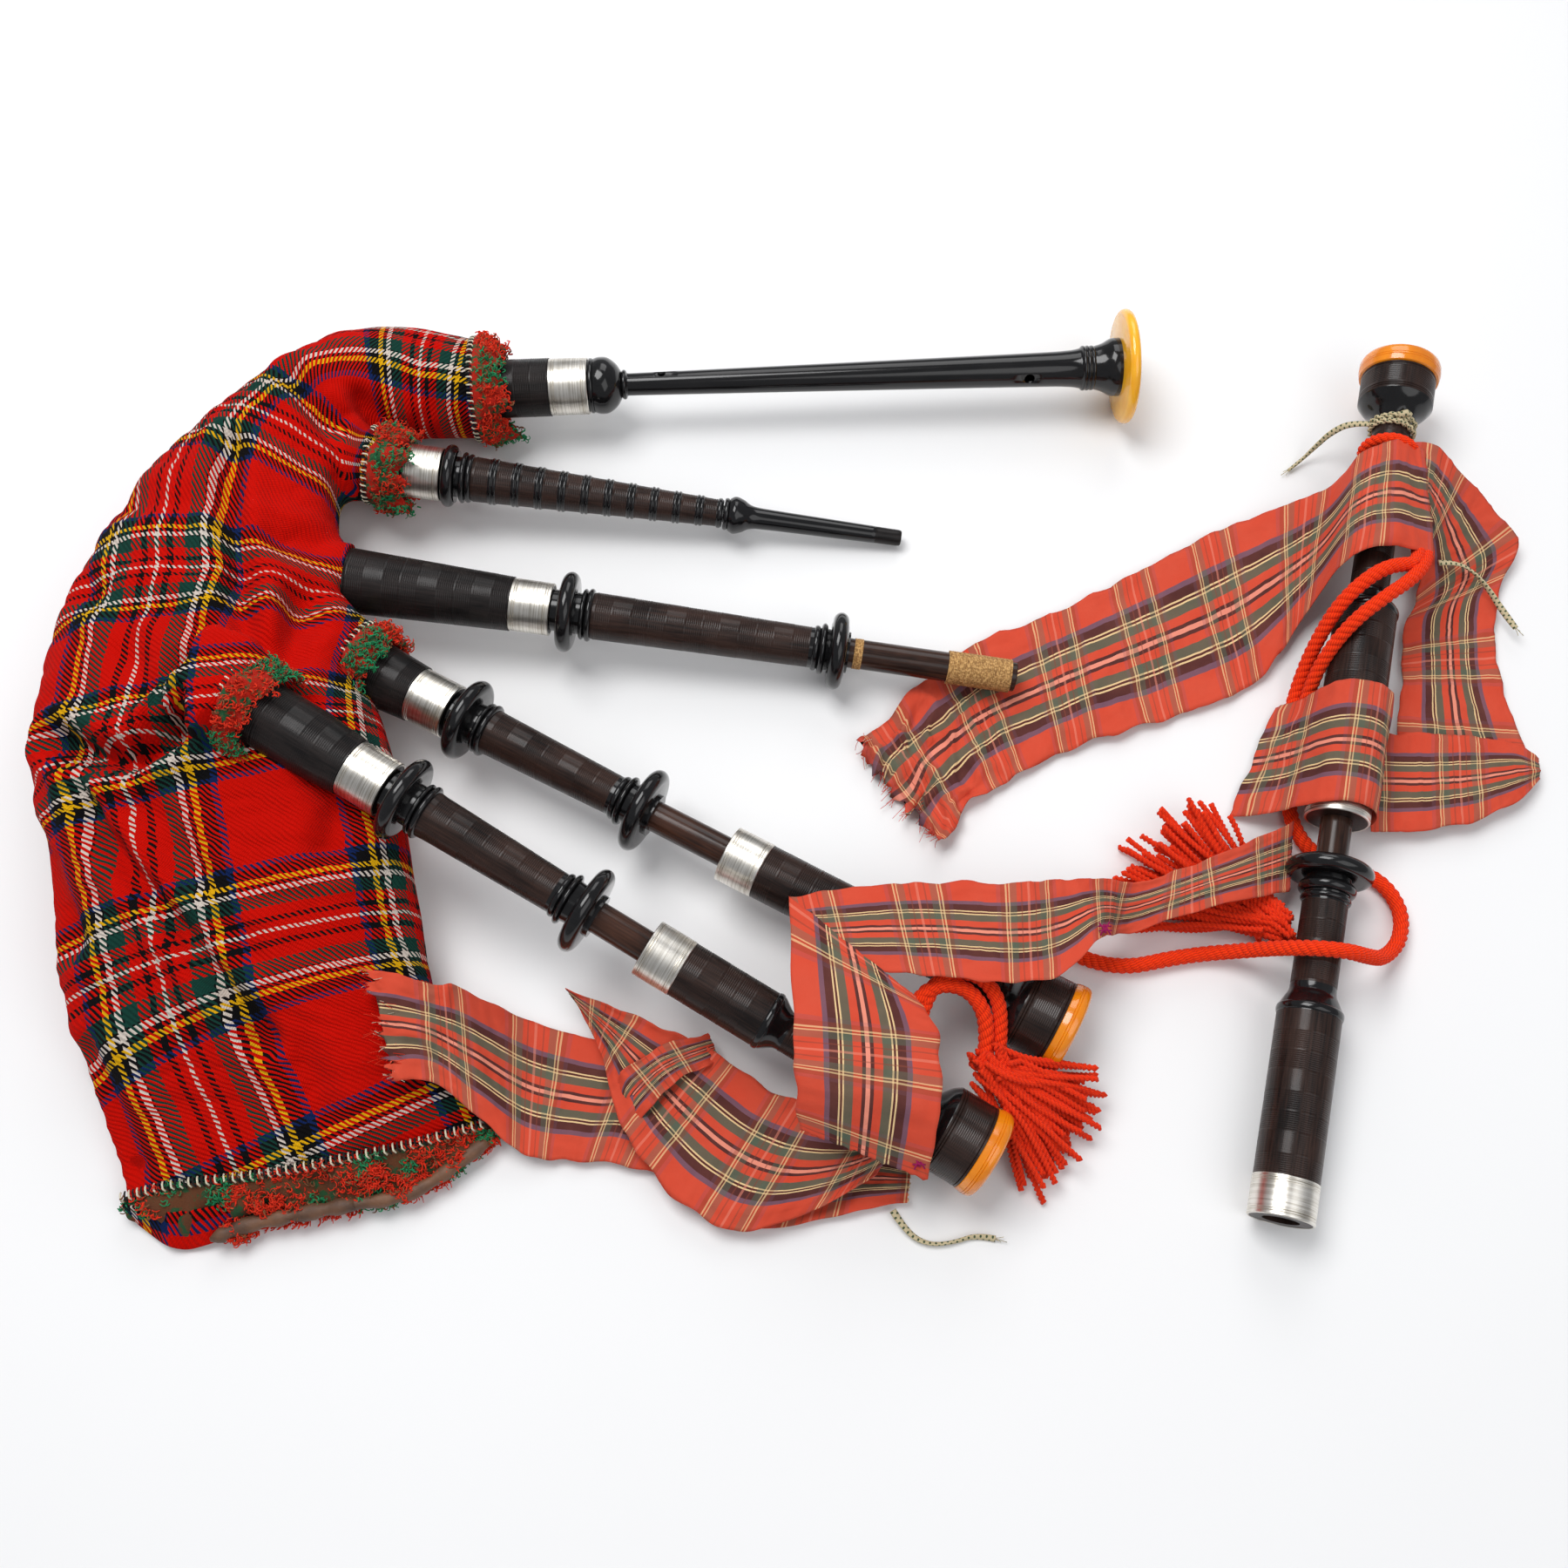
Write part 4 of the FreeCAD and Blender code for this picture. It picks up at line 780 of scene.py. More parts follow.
def make_blowpipe():
    """The blowpipe with its mount, and the mouthpiece in its end."""
    bore, tenon, start, end = 5.2, 9.45, 20.0, 169.0
    outline = line(GLOSS, (TENON_END, bore), (TENON_END, tenon), (0.3, tenon),
                   (0.3, MOUNT_SEAT), (11.0, MOUNT_SEAT)) + bead(GLOSS, 11.5, 14.6, 13.2, 2.0)
    outline += bead(GLOSS, 15.0, 18.3, 12.8, 1.7)
    pairs, first, last = 10, 13.4, 8.0
    pitch = (end - start - 6) / (pairs + 0.4)

    def radius(station):
        return first + (last - first) * (station - start) / (end - start)

    spot = start
    for pair in range(pairs):
        stop = start + pitch * (pair + 0.62)
        outline += comb(COMBED, spot, stop, radius(spot), radius(stop))
        for shift in (0.3, 2.7):
            left = stop + shift
            outline += bead(GLOSS, left, left + 2.1, radius(left), 0.75, 6)
        spot = stop + 5.2
    outline += comb(COMBED, spot, end - 4, radius(spot), radius(end - 4))
    outline += bead(GLOSS, end - 3.6, end - 0.6, radius(end - 3), 0.9, 6)
    outline += line(GLOSS, (end, radius(end)), (end, bore))
    lathe("blowpipe_turning", BLOWPIPE, outline, "blowpipe", "blackwood", ["blowpipe"])
    rim = projecting_mount(0.3, 8.6, 18.6, MOUNT_SEAT)
    lathe("blowpipe_rim", BLOWPIPE, rim, "blowpipe", "black_mount", ["blowpipe_mount"])

    tip = line(GLOSS, (149, 2.6), (149, 5.15), (169.4, 5.15))
    tip += bead(GLOSS, 169.4, 172.4, 8.6, 1.1, 6)
    tip += swell(GLOSS, ((172.6, 9.6), (176, 11.2), (181, 9.8), (187, 6.9), (200, 6.2),
                         (240, 5.5), (262, 5.1)))
    tip += swell(STOCK_WOOD, ((262.2, 5.0), (270, 4.9), (276.5, 4.8), (278, 4.2)), 4)
    tip += line(STOCK_WOOD, (278, 2.6))
    lathe("mouthpiece_turning", BLOWPIPE, tip, "mouthpiece", "black_mount", ["mouthpiece"])


def bottom_joint(name, pipe, body, mounts, bead_start, shaft, pin, node, mount_node):
    """A drone's bottom joint. shaft is (start, radius, end, end radius), pin (start, end)."""
    start, first, end, last = shaft
    upper, tenon = mounts[1][0], 8.9
    outline = line(GLOSS, (TENON_END, BORE), (TENON_END, tenon), (0.3, tenon),
                   (0.3, MOUNT_SEAT), (bead_start, MOUNT_SEAT))
    outline += bead(GLOSS, bead_start, bead_start + 2.8, 12.8, 2.0)
    outline += bead(GLOSS, bead_start + 3.2, bead_start + 6.8, 13.2, 2.2)
    outline += comb(COMBED, start, end, first, last)
    outline += bead(GLOSS, end + 2.0, end + 5.4, last, 1.4)
    outline += bead(GLOSS, end + 5.8, end + 9.6, last + 0.4, 2.8)
    outline += line(GLOSS, (upper, last), (upper, MOUNT_SEAT), (pin[0], MOUNT_SEAT),
                    (pin[0], PIN))
    outline += line(PIN_WOOD, (pin[1] - 0.5, PIN), (pin[1], PIN - 0.5), (pin[1], BORE))
    lathe(name + "_turning", pipe, outline, body, "blackwood", [node])
    for side, (at, width, radius) in zip(("lower", "upper"), mounts):
        rim = projecting_mount(at, width, radius, MOUNT_SEAT)
        replaced = [mount_node] if side == "lower" else []
        lathe("%s_%s_rim" % (name, side), pipe, rim, body, "black_mount", replaced)


HEMP_PITCH = 0.9


def windings(name, pipe, start, stop, wood_radius, radius, body, nodes):
    """Hemp wound round a pin, one ridge for each turn."""
    turns = int((stop - start) / HEMP_PITCH)
    outline = line(HEMP, (start, wood_radius))
    for turn in range(turns):
        left = start + (stop - start) * turn / turns
        lift = 0.12 * noise_at(turn * 1.7, 0, 0)
        outline += bead(HEMP, left, left + 0.86, radius - 0.35 + lift, 0.35, 4)
    outline += line(HEMP, (stop, wood_radius))
    lathe(name, pipe, outline, body, "hemp", nodes)


def top_joint(name, pipe, start, body, sizes, node):
    """A drone's top joint, ferrule and bell ring. sizes is ferrule radius, chamber (radius,
    end), neck (start, radius, end), bell (shoulder, radius, ring start, end) and bore end."""
    sleeve, chamber, neck, bell, bore_end = sizes
    cavity, depth, wall = 16.5, 22, 1.4
    end = start + bell[3]
    lip = start + 21.5
    ring = start + bell[2]
    bell_line = start + bell[0]
    seat = sleeve - FERRULE_WALL
    outline = line(COMBED, (start, PIN + 0.05), (start, seat), (lip, seat))
    outline += comb(COMBED, lip, start + chamber[1] - 6, chamber[0], chamber[0])
    outline += bead(GLOSS, start + chamber[1] - 5.6, start + chamber[1] - 2, chamber[0], 0.7)
    outline += swell(GLOSS, ((start + chamber[1] - 1, chamber[0] - 0.4),
                             (start + neck[0], neck[1] + 0.5), (start + neck[0] + 3, neck[1])))
    outline += comb(COMBED, start + neck[0] + 4, start + neck[2] - 3, neck[1], neck[1])
    outline += swell(GLOSS, ((start + neck[2] - 2, neck[1]), (start + neck[2] + 2, neck[1] + 3),
                             (bell_line - 4, bell[1] - 3), (bell_line, bell[1])))
    for station in (bell_line + 1.6, bell_line + 3.0):
        outline += groove(BELL, station, bell[1], 0.7, 0.5)
    outline += comb(BELL, bell_line + 4, ring - 2.6, bell[1], bell[1])
    outline += groove(BELL, ring - 1.4, bell[1], 0.7, 0.5)
    outline += line(BELL, (ring, bell[1]))
    outline += line(GLOSS, (ring, cavity + wall), (end - 1, cavity + wall),
                    (end - 1, cavity), (end - depth, cavity))
    outline += line(COMBED, (end - depth, BORE), (bore_end, BORE), (bore_end, PIN + 0.05))
    lathe(name + "_top_turning", pipe, outline, body, "blackwood", [node + "_top_joint"])
    ferrule(name + "_top_sleeve", pipe, start, lip, sleeve, body, node + "_top_ferrule")
    amber_ring = line(AMBER, (ring, cavity + wall), (ring, 22.6))
    amber_ring += swell(AMBER, ((ring + 0.4, 23.2), (ring + 3, 23.8)), 3)
    amber_ring += groove(AMBER, ring + 3.8, 23.9) + groove(AMBER, ring + 5.2, 23.9)
    amber_ring += swell(AMBER, ((end - 3.6, 23.9), (end - 1.4, 23.0), (end - 0.2, 21.0),
                                (end, 19.0)), 4)
    amber_ring += line(AMBER, (end, cavity + wall))
    lathe(name + "_ring_turning", pipe, amber_ring, body, "amber_resin", [node + "_bell_ring"])


def make_drones():
    """The bass drone's bottom joint, and both tenor drones."""
    mounts = ((4.2, 10, 23.3), (161.5, 10, 22.5))
    bottom_joint("bass", BASS, "bass_bottom", mounts, 17, (25.5, 13.7, 150, 11.8),
                 (173, 271), "bass_bottom_joint", "bass_bottom_mounts")
    windings("bass_pin_hemp", BASS, 231, 268, PIN, 9.75, "bass_bottom", ["bass_hemp"])
    windings("bass_pin_thread", BASS, 176, 181, PIN, 9.0, "bass_bottom", [])
    for name, pipe, start in (("tenor_1", TENOR_1, 174.2), ("tenor_2", TENOR_2, 159.0)):
        mounts = ((4.5, 10, 23.8), (117, 10, 24.3))
        bottom_joint(name, pipe, name + "_bottom", mounts, 18, (28, 12.9, 103, 11.4),
                     (129, 234), name + "_bottom_joint", name + "_mounts")
        sizes = (15.7, (15.4, 77), (82, 10.5, 166), (177, 22.8, 198, 208), 264)
        top_joint(name, pipe, start, name + "_top", sizes, name)


def make_bass_upper():
    """The bass drone's upper half, which lies apart: its middle and top joints."""
    pipe = BASS_UPPER
    lip, sleeve = 21, 17.2
    seat = sleeve - FERRULE_WALL
    outline = line(COMBED, (0.2, SOCKET), (0.2, seat), (lip, seat))
    outline += comb(COMBED, lip, 108, 17, 17)
    outline += bead(GLOSS, 108.4, 112.4, 17, 0.7)
    outline += swell(GLOSS, ((113, 16.6), (117, 14.6), (121, 12.6), (125, 12.2)))
    outline += comb(COMBED, 126, 172, 12.2, 12.2)
    outline += bead(GLOSS, 173, 176.4, 12.2, 1.4) + bead(GLOSS, 177.4, 184.2, 12.4, 3.2)
    outline += line(GLOSS, (198, 12.2), (198, PIN))
    outline += line(PIN_WOOD, (295.5, PIN), (296, PIN - 0.5), (296, BORE), (102, BORE),
                    (102, SOCKET))
    lathe("bass_middle_turning", pipe, outline, "root", "blackwood", ["bass_middle_joint"])
    ferrule("bass_middle_sleeve", pipe, 0, lip, sleeve, "root", "bass_middle_ferrule")
    rim = projecting_mount(186, 10, 23.8, 12.2)
    lathe("bass_middle_rim", pipe, rim, "root", "black_mount", ["bass_middle_mount"])
    sizes = (17.7, (17.5, 134.5), (141, 11, 264), (274, 21.8, 292.5, 304.5), 326)
    top_joint("bass", pipe, 222, "bass_top", sizes, "bass")


# --- cords and tapes ---------------------------------------------------------------------------

# The routes are the CAD's own.
LONG_CORD = (
    (346, 92, 52), (333, 89, 58), (317, 81, 58), (301, 68, 49), (291, 52, 27), (284, 33, 10),
    (278, 13, 6), (274, -8, 6), (272, -31, 6), (273, -53, 6), (284, -70, 6), (303, -76, 6),
    (320, -85, 6), (328, -102, 6), (324, -120, 7), (310, -132, 16), (296, -136, 34),
    (281, -137, 48), (264, -135, 48), (249, -131, 34), (235, -127, 15), (217, -126, 6),
    (196, -129, 6), (174, -134, 6), (153, -131, 6), (133, -121, 8), (115, -112, 18),
    (97, -110, 33), (82, -118, 44), (72, -130, 47),
)
TASSEL_CORD = (
    (48, -177, 46), (53, -163, 49), (65, -155, 51), (79, -157, 50), (88, -167, 46),
    (90, -180, 40), (89, -192, 34),
)
NECK_TAIL = (
    (340, 198, 36), (330, 201, 33), (321, 201, 23), (314, 198, 11), (307, 193, 4),
    (299, 187, 2.5),
)
LOOSE_TAIL = (
    (374, 110, 22), (385, 111, 21), (396, 106, 18), (405, 96, 14), (411, 84, 12), (418, 72, 11),
)
BELL_TAIL = (
    (41, -264, 5), (48, -275, 3), (59, -281, 2), (72, -280, 2), (84, -276, 2), (94, -278, 2),
)


def exit_of(route):
    """Where a cord leaves the object, in metres."""
    return tuple(round(value * MM, 4) for value in route[0])


def route_line(name, route):
    """Points along the smooth line that a route's points control."""
    curve = bpy.data.curves.new(name + "_route", "CURVE")
    curve.dimensions = "3D"
    curve.resolution_u = 12
    spline = curve.splines.new("NURBS")
    spline.points.add(len(route) - 1)
    for place, point in zip(spline.points, metres(route)):
        place.co = (*point, 1.0)
    spline.order_u = 3
    spline.use_endpoint_u = True
    thing = bpy.data.objects.new(name + "_route", curve)
    bpy.context.collection.objects.link(thing)
    view = bpy.context.evaluated_depsgraph_get()
    mesh = bpy.data.meshes.new_from_object(thing.evaluated_get(view))
    points = [vertex.co.copy() for vertex in mesh.vertices]
    bpy.data.objects.remove(thing)
    return points


def even(points, gap):
    """The same line with its points a set distance apart, in metres, and the line's length."""
    lengths = [0.0]
    for before, after in zip(points, points[1:]):
        lengths.append(lengths[-1] + (after - before).length)
    count = max(4, round(lengths[-1] / gap))
    made, index = [], 0
    for step in range(count + 1):
        wanted = lengths[-1] * step / count
        while index < len(points) - 2 and lengths[index + 1] < wanted:
            index += 1
        span = max(lengths[index + 1] - lengths[index], 1e-9)
        share = min(1.0, (wanted - lengths[index]) / span)
        made.append(points[index].lerp(points[index + 1], share))
    return made, lengths[-1]


STRAND_OVERLAP = 1.12


def twisted(shape, path, radius, strands, pitch, sides, material, gap):
    """Lays strands round a path, all within the radius in millimetres. pitch is one turn, and
    gap is from point to point along the path, in metres."""
    path, length = even(path, gap)
    share = math.sin(math.pi / strands) / (1 + math.sin(math.pi / strands))
    thick = radius * share * (STRAND_OVERLAP if strands > 2 else 1.0)
    reach = (radius - thick) * MM
    rings = []
    for index, (point, across, over) in enumerate(carried(path)):
        lay = 2 * math.pi * length * index / (len(path) - 1) / (pitch * MM)
        turns = [lay + angle for angle in angles(strands)]
        rings.append([point + (across * math.cos(turn) + over * math.sin(turn)) * reach
                      for turn in turns])
    for strand in range(strands):
        shape.sweep([ring[strand] for ring in rings], thick, sides, material)


TAPE_SIDES = 10
TAPE_GAP = 0.0009
TAPE_THREADS = 9


def flat_tape(shape, path, half, thick, turns):
    """Sweeps a flat section that turns slowly along the path. half is its half width, and
    thick its half thickness, in millimetres."""
    path, length = even(path, TAPE_GAP)
    rings, marks = [], []
    for index, point in enumerate(path):
        ahead = heading(path, index)
        flat = ahead.cross(UP).normalized()
        over = flat.cross(ahead)
        turn = turns * 2 * math.pi * index / (len(path) - 1)
        c, s = math.cos(turn), math.sin(turn)
        ring = []
        for angle in angles(TAPE_SIDES):
            x, y = half * math.cos(angle), thick * math.sin(angle)
            spot = point + (flat * (x * c - y * s) + over * (x * s + y * c)) * MM
            ring.append(above(spot, GROUND_GAP))
        rings.append(ring)
        marks.append([(side / TAPE_SIDES, length * index / len(path))
                      for side in range(TAPE_SIDES + 1)])
    shape.tube(rings, marks, TAPE)


def tape_end(name, route, node, body, length, turns):
    """A loose end of cotton tape, with the threads of its cut end."""
    points = route_line(name, route)
    shape = Sculpt(name)
    flat_tape(shape, points, 1.9, 1.0, turns)
    threads = Sculpt(name + "_threads")
    for number in range(TAPE_THREADS):
        tip = points[-1] + (points[-1] - points[-2]).normalized() * 0.0045
        tip += Vector((math.sin(number * 2.1), math.cos(number * 2.1), 0.15)) * 0.0018
        above(tip, THREAD_GAP)
        threads.sweep([points[-2], points[-1].lerp(tip, 0.6), tip], 0.2, 4, TAPE)
    threads = piece(threads.build(), body, "cotton_tape")
    thing = piece(shape.build(), body, "cotton_tape", node)
    exit_of(route)


CORD_RADIUS = 4.4


def lay_cord(shape, path, radius=CORD_RADIUS, pitch=13.0, sides=12):
    """Three twisted strands of the red cord."""
    twisted(shape, path, radius, 3, pitch, sides, CORD, gap=0.0011)


def rope(name, route, node):
    """A cord along one of the CAD's routes."""
    points = route_line(name, route)
    shape = Sculpt(name)
    lay_cord(shape, points)
    thing = piece(shape.build(), "root", "cord_yarn", node)
    exit_of(route)


# The rope's start, which rises from under the ribbon at the bass drone's neck, and its second
# pass, beside the first from there down to the wrap.
ROPE_START = ((357, 116, 36), (352, 101, 46), (345.5, 91.8, 52))
SECOND_PASS = (
    (361, 108, 38), (354, 94, 50), (341, 79, 58), (325, 68, 59), (306, 55, 53), (293, 41, 34),
    (286.5, 24, 16), (284.5, 8, 8), (283, -8, 6),
)


def make_cords(tassels):
    """Both cords with their second passes, and the loose ends of tape. tassels is not used."""
    second = Sculpt("rope_second_pass")
    lay_cord(second, route_line("second", SECOND_PASS), 4.2)
    neck = [BASS_UPPER.round(462 + 1.5 * math.sin(a), 14.6, a)
            for a in angles(40, whole=True)]
    lay_cord(second, neck, 3.6, 11.0, 10)
    lay_cord(second, through(metres(ROPE_START), 8), 4.3)
    second = piece(second.build(), "root", "cord_yarn")
    rope("long_rope", LONG_CORD, "cord_long")
    loop = Sculpt("loop_second_pass")
    beside = [Vector(point) + Vector((7.5, 6.5, 0.5)) for point in TASSEL_CORD]
    lay_cord(loop, route_line("loop_second", beside), 4.2)
    loop = piece(loop.build(), "root", "cord_yarn")
    rope("loop_rope", TASSEL_CORD, "cord_tassel")
    for name, route, node, body, length, turns in (
            ("neck_tape", NECK_TAIL, "tape_neck", "bass_top", 0.059, 0.3),
            ("side_tape", LOOSE_TAIL, "tape_loose", "root", 0.0646, 0.5),
            ("bell_tape", BELL_TAIL, "tape_bell", "root", 0.0608, 0.4)):
        tape_end(name, route, node, body, length, turns)


# Each tassel's yarns: where they leave the knot, then the middles and the tips they fan to.
TASSEL_1_HEAD = (90, -194, 36)
TASSEL_1_FAN = (
    ((108, -193, 40), (139, -199, 28)), ((106, -200, 38), (146, -207, 16)),
    ((106, -205, 36), (143, -219, 9)), ((106, -211, 33), (137, -231, 6)),
    ((104, -216, 30), (124, -243, 5)), ((102, -214, 26), (112, -252, 4)),
)
TASSEL_2_HEAD = (255, -112, 12)
TASSEL_2_FAN = (
    ((246, -80, 16), (223, -45, 24)), ((236, -86, 14), (207, -51, 22)),
    ((226, -92, 14), (191, -62, 16)), ((221, -99, 14), (178, -75, 10)),
    ((218, -106, 12), (172, -90, 6)), ((216, -112, 8), (177, -112, 4)),
)
TASSEL_SHAKE = 6.0


def tassel(name, head, fan, count, node, seed):
    """Twisted yarns from a knot out to a fan of tips, with the winding that ties them."""
    dice = random.Random(seed)
    shape = Sculpt(name)
    head, = metres([head])
    middles, tips = (metres([pair[which] for pair in fan]) for which in (0, 1))
    for number in range(count):
        place = (number + 0.5) / count * (len(fan) - 1)
        middle, tip = part_way(middles, place), part_way(tips, place)
        shake = [shaken(dice, -TASSEL_SHAKE, TASSEL_SHAKE) * MM for _ in range(3)]
        start = head + shake[0] * 1.6
        middle += shake[1]
        tip += shake[2] * 1.4 + (tip - head) * dice.uniform(-0.12, 0.06)
        above(tip, 0.0025)
        above(middle, 0.003)
        path = []
        for step in range(17):
            t = step / 16
            spot = start * (1 - t)**2 + middle * (2 * t * (1 - t)) + tip * t**2
            sway = math.sin(t * 9 + number) * 0.0007
            path.append(spot + Vector((sway, -sway, abs(sway) * 0.5)))
        twisted(shape, path, radius=2.0, strands=2, pitch=5.4, sides=6, material=TASSEL,
                gap=0.0014)
    aim = (middles[len(fan) // 2] - head).normalized()
    side = aim.orthogonal().normalized()
    over = aim.cross(side)
    for ring in range(-3, 4):
        middle = head + aim * ring * 0.0017
        reach = (5.4 - 0.25 * abs(ring)) * MM
        shape.sweep([middle + (side * math.cos(a) + over * math.sin(a)) * reach
                     for a in angles(24, whole=True)], 1.1, 8, TASSEL)
    thing = shape.build()
    for vertex in thing.data.vertices:
        above(vertex.co, GROUND_GAP)
    return piece(thing, "root", "cord_yarn", node)


def make_tassels():
    return (tassel("loop_tassel", TASSEL_1_HEAD, TASSEL_1_FAN, 66, "tassel_1", 3),
            tassel("ground_tassel", TASSEL_2_HEAD, TASSEL_2_FAN, 72, "tassel_2", 8))


def neck_tie():
    """The cotton tape tied twice round the bass drone's neck."""
    shape = Sculpt("neck_tie")
    for station, tilt in ((477.5, 0.8), (482.0, -0.8)):
        loop = [BASS_UPPER.round(station + tilt * math.cos(a), 12.4 + 0.25 * math.sin(a * 5), a)
                for a in angles(48, whole=True)]
        twisted(shape, loop, radius=2.0, strands=2, pitch=9.0, sides=8, material=TAPE,
                gap=0.0012)
    knot = [BASS_UPPER.at(480 + 2.5 * math.sin(a * 0.7), -3 + 2.6 * math.cos(a),
                          13.4 + 2.2 * math.sin(a)) for a in (0.9 * step for step in range(8))]
    shape.sweep(knot, 2.0, 8, TAPE)
    piece(shape.build(), "bass_top", "cotton_tape", "bass_neck_tie")


# --- ribbons -----------------------------------------------------------------------------------

# Each run of ribbon, the CAD's own: one edge, then the other, at stations along it.
RIBBON_TAIL = (
    ((367, 175, 43), (362, 102, 43)), ((347, 176, 51), (333, 103, 53)),
    ((328, 170, 45), (309, 97, 46)), ((312, 162, 16), (293, 79, 14)),
    ((251, 142, 4), (261, 39, 4)), ((195, 111, 4), (208, 16, 4)), ((146, 85, 4), (156, -1, 4)),
    ((93, 61, 3), (117, -20, 3)), ((56, 30, 3), (89, -41, 3)), ((27, -3, 4), (73, -65, 4)),
)
RIBBON_LOOP = (
    ((350, 184, 34), (350, 128, 34)), ((372, 179, 41), (362, 126, 36)),
    ((406, 156, 22), (365, 106, 15)), ((428, 130, 10), (361, 88, 6)),
    ((412, 93, 4), (354, 75, 4)), ((406, 41, 4), (348, 41, 4)), ((413, -3, 4), (340, 2, 4)),
    ((416, -20, 4), (338, -30, 4)), ((376, -46, 4), (338, -54, 4)),
)
RIBBON_PANEL = (
    ((271, -52, 13), (263, -94, 16)), ((218, -80, 34), (218, -108, 35)),
    ((180, -92, 28), (170, -120, 22)), ((154, -94, 38), (150, -132, 54)),
    ((130, -98, 48), (128, -152, 60)), ((104, -103, 57), (103, -158, 61)),
    ((53, -103, 58), (61, -154, 61)), ((-12, -110, 58), (-2, -151, 64)),
)
RIBBON_DRAPE = (
    ((-13, -114, 70), (50, -166, 68)), ((-11, -178, 72), (62, -186, 66)),
    ((-10, -208, 70), (62, -221, 66)), ((-8, -230, 48), (56, -254, 40)),
)
RIBBON_STRIP = (
    ((52, -238, 5), (49, -259, 5)), ((35, -232, 4), (30, -263, 4)),
    ((-8, -216, 4), (-34, -273, 4)), ((-48, -196, 4), (-79, -248, 4)),
    ((-83, -176, 5), (-106, -240, 5)), ((-109, -176, 6), (-126, -239, 6)),
    ((-153, -164, 4), (-151, -236, 10)), ((-184, -155, 36), (-176, -218, 22)),
    ((-201, -154, 48), (-196, -204, 36)), ((-229, -150, 58), (-215, -205, 44)),
)


RIBBON_ROWS = 18
RIBBON_COLUMNS = 32
RIBBON_LIFT = 1.2


def cloth_run(shape, stations, seed, ripple, ragged, start, crumple=0.0):
    """A run of ribbon as a wavy sheet with small creases. ragged is how far the cut ends
    stray, in millimetres, start is where the run's check begins, in metres, and crumple is
    how high the folds stand at the far end."""
    left, right = (through(metres([pair[edge] for pair in stations]), RIBBON_ROWS)
                   for edge in (0, 1))
    rows, weave = [], []
    travelled = start
    for index, (a, b) in enumerate(zip(left, right)):
        if index:
            travelled += ((a + b) / 2 - (left[index - 1] + right[index - 1]) / 2).length
        beside = (b - a).normalized()
        near_end = max(0.0, index / (len(left) - 1) * 3.2 - 2.2)
        row, marks = [], []
        for column in range(RIBBON_COLUMNS + 1):
            share = column / RIBBON_COLUMNS
            here = Vector((travelled * 22, share * 3.0, seed * 7.0))
            wave = noise.noise(here) * 2.2 + noise.noise(here * 2.7) * 0.9
            fold = 1.0 - abs(noise.noise(here * 1.3 + Vector((9, 0, 0)))) * 6
            sharp = 1.0 - abs(noise.noise(here * 2.4 + Vector((4, 3, 0)))) * 3.5
            cross = noise_at(travelled * 105 + share * 1.4, share * 1.7, seed * 5.0)
            rise = RIBBON_LIFT + ripple * (wave + 0.9 * max(0.0, fold))
            rise += crumple * near_end * max(0.0, sharp)
            rise += 0.95 * max(0.0, 1.0 - abs(cross) * 4.5)
            stray = noise_at(travelled * 70, round(share) * 5.0, seed * 3.0)
            pull = noise.noise(here * 1.9 + Vector((0, 20, 0))) * crumple * near_end
            shift = stray * 2.2 * abs(share * 2 - 1)**3 + pull * 0.8
            row.append(above(a.lerp(b, share) + (beside * shift + UP * rise) * MM, CLOTH_GAP))
            marks.append(((share - 0.5) * RIBBON_WIDTH, travelled))
        rows.append(row)
        weave.append(marks)
    dice = random.Random(seed)
    for end, inner, stray in ((rows[0], rows[1], ragged[0]), (rows[-1], rows[-2], ragged[1])):
        for spot, before in zip(end, inner):
            spot += (spot - before).normalized() * dice.uniform(-stray, stray) * MM
    shape.grid(rows, weave, RIBBON)
    return rows


def frayed(shape, row, inner, length, count, seed, material):
    """Loose threads off a cut end."""
    dice = random.Random(seed)
    for _ in range(count):
        place = dice.uniform(0, len(row) - 1.01)
        spot, base = part_way(row, place), part_way(inner, place)
        out = (spot - base).normalized()
        bend = shaken(dice, -0.5, 0.5)
        reach = length * dice.uniform(0.3, 1.0) * MM
        path = [above(base.lerp(spot, 0.6) + (out + bend * step / 4) * reach * step / 4,
                      THREAD_GAP) for step in range(5)]
        shape.sweep(path, 0.16, 4, material)


# The loop's end turns back over itself and runs to the wrap.
LOOP_RETURN = (
    ((418, -12, 8), (417, -24, 7)), ((406, -3, 10), (403, -36, 9)), ((384, 1, 11), (380, -48, 9)),
    ((357, 3, 11), (350, -55, 9)), ((334, 4, 11), (326, -57, 10)), ((322, 5, 14), (313, -58, 16)),
)


RAGGED_END = 1.5


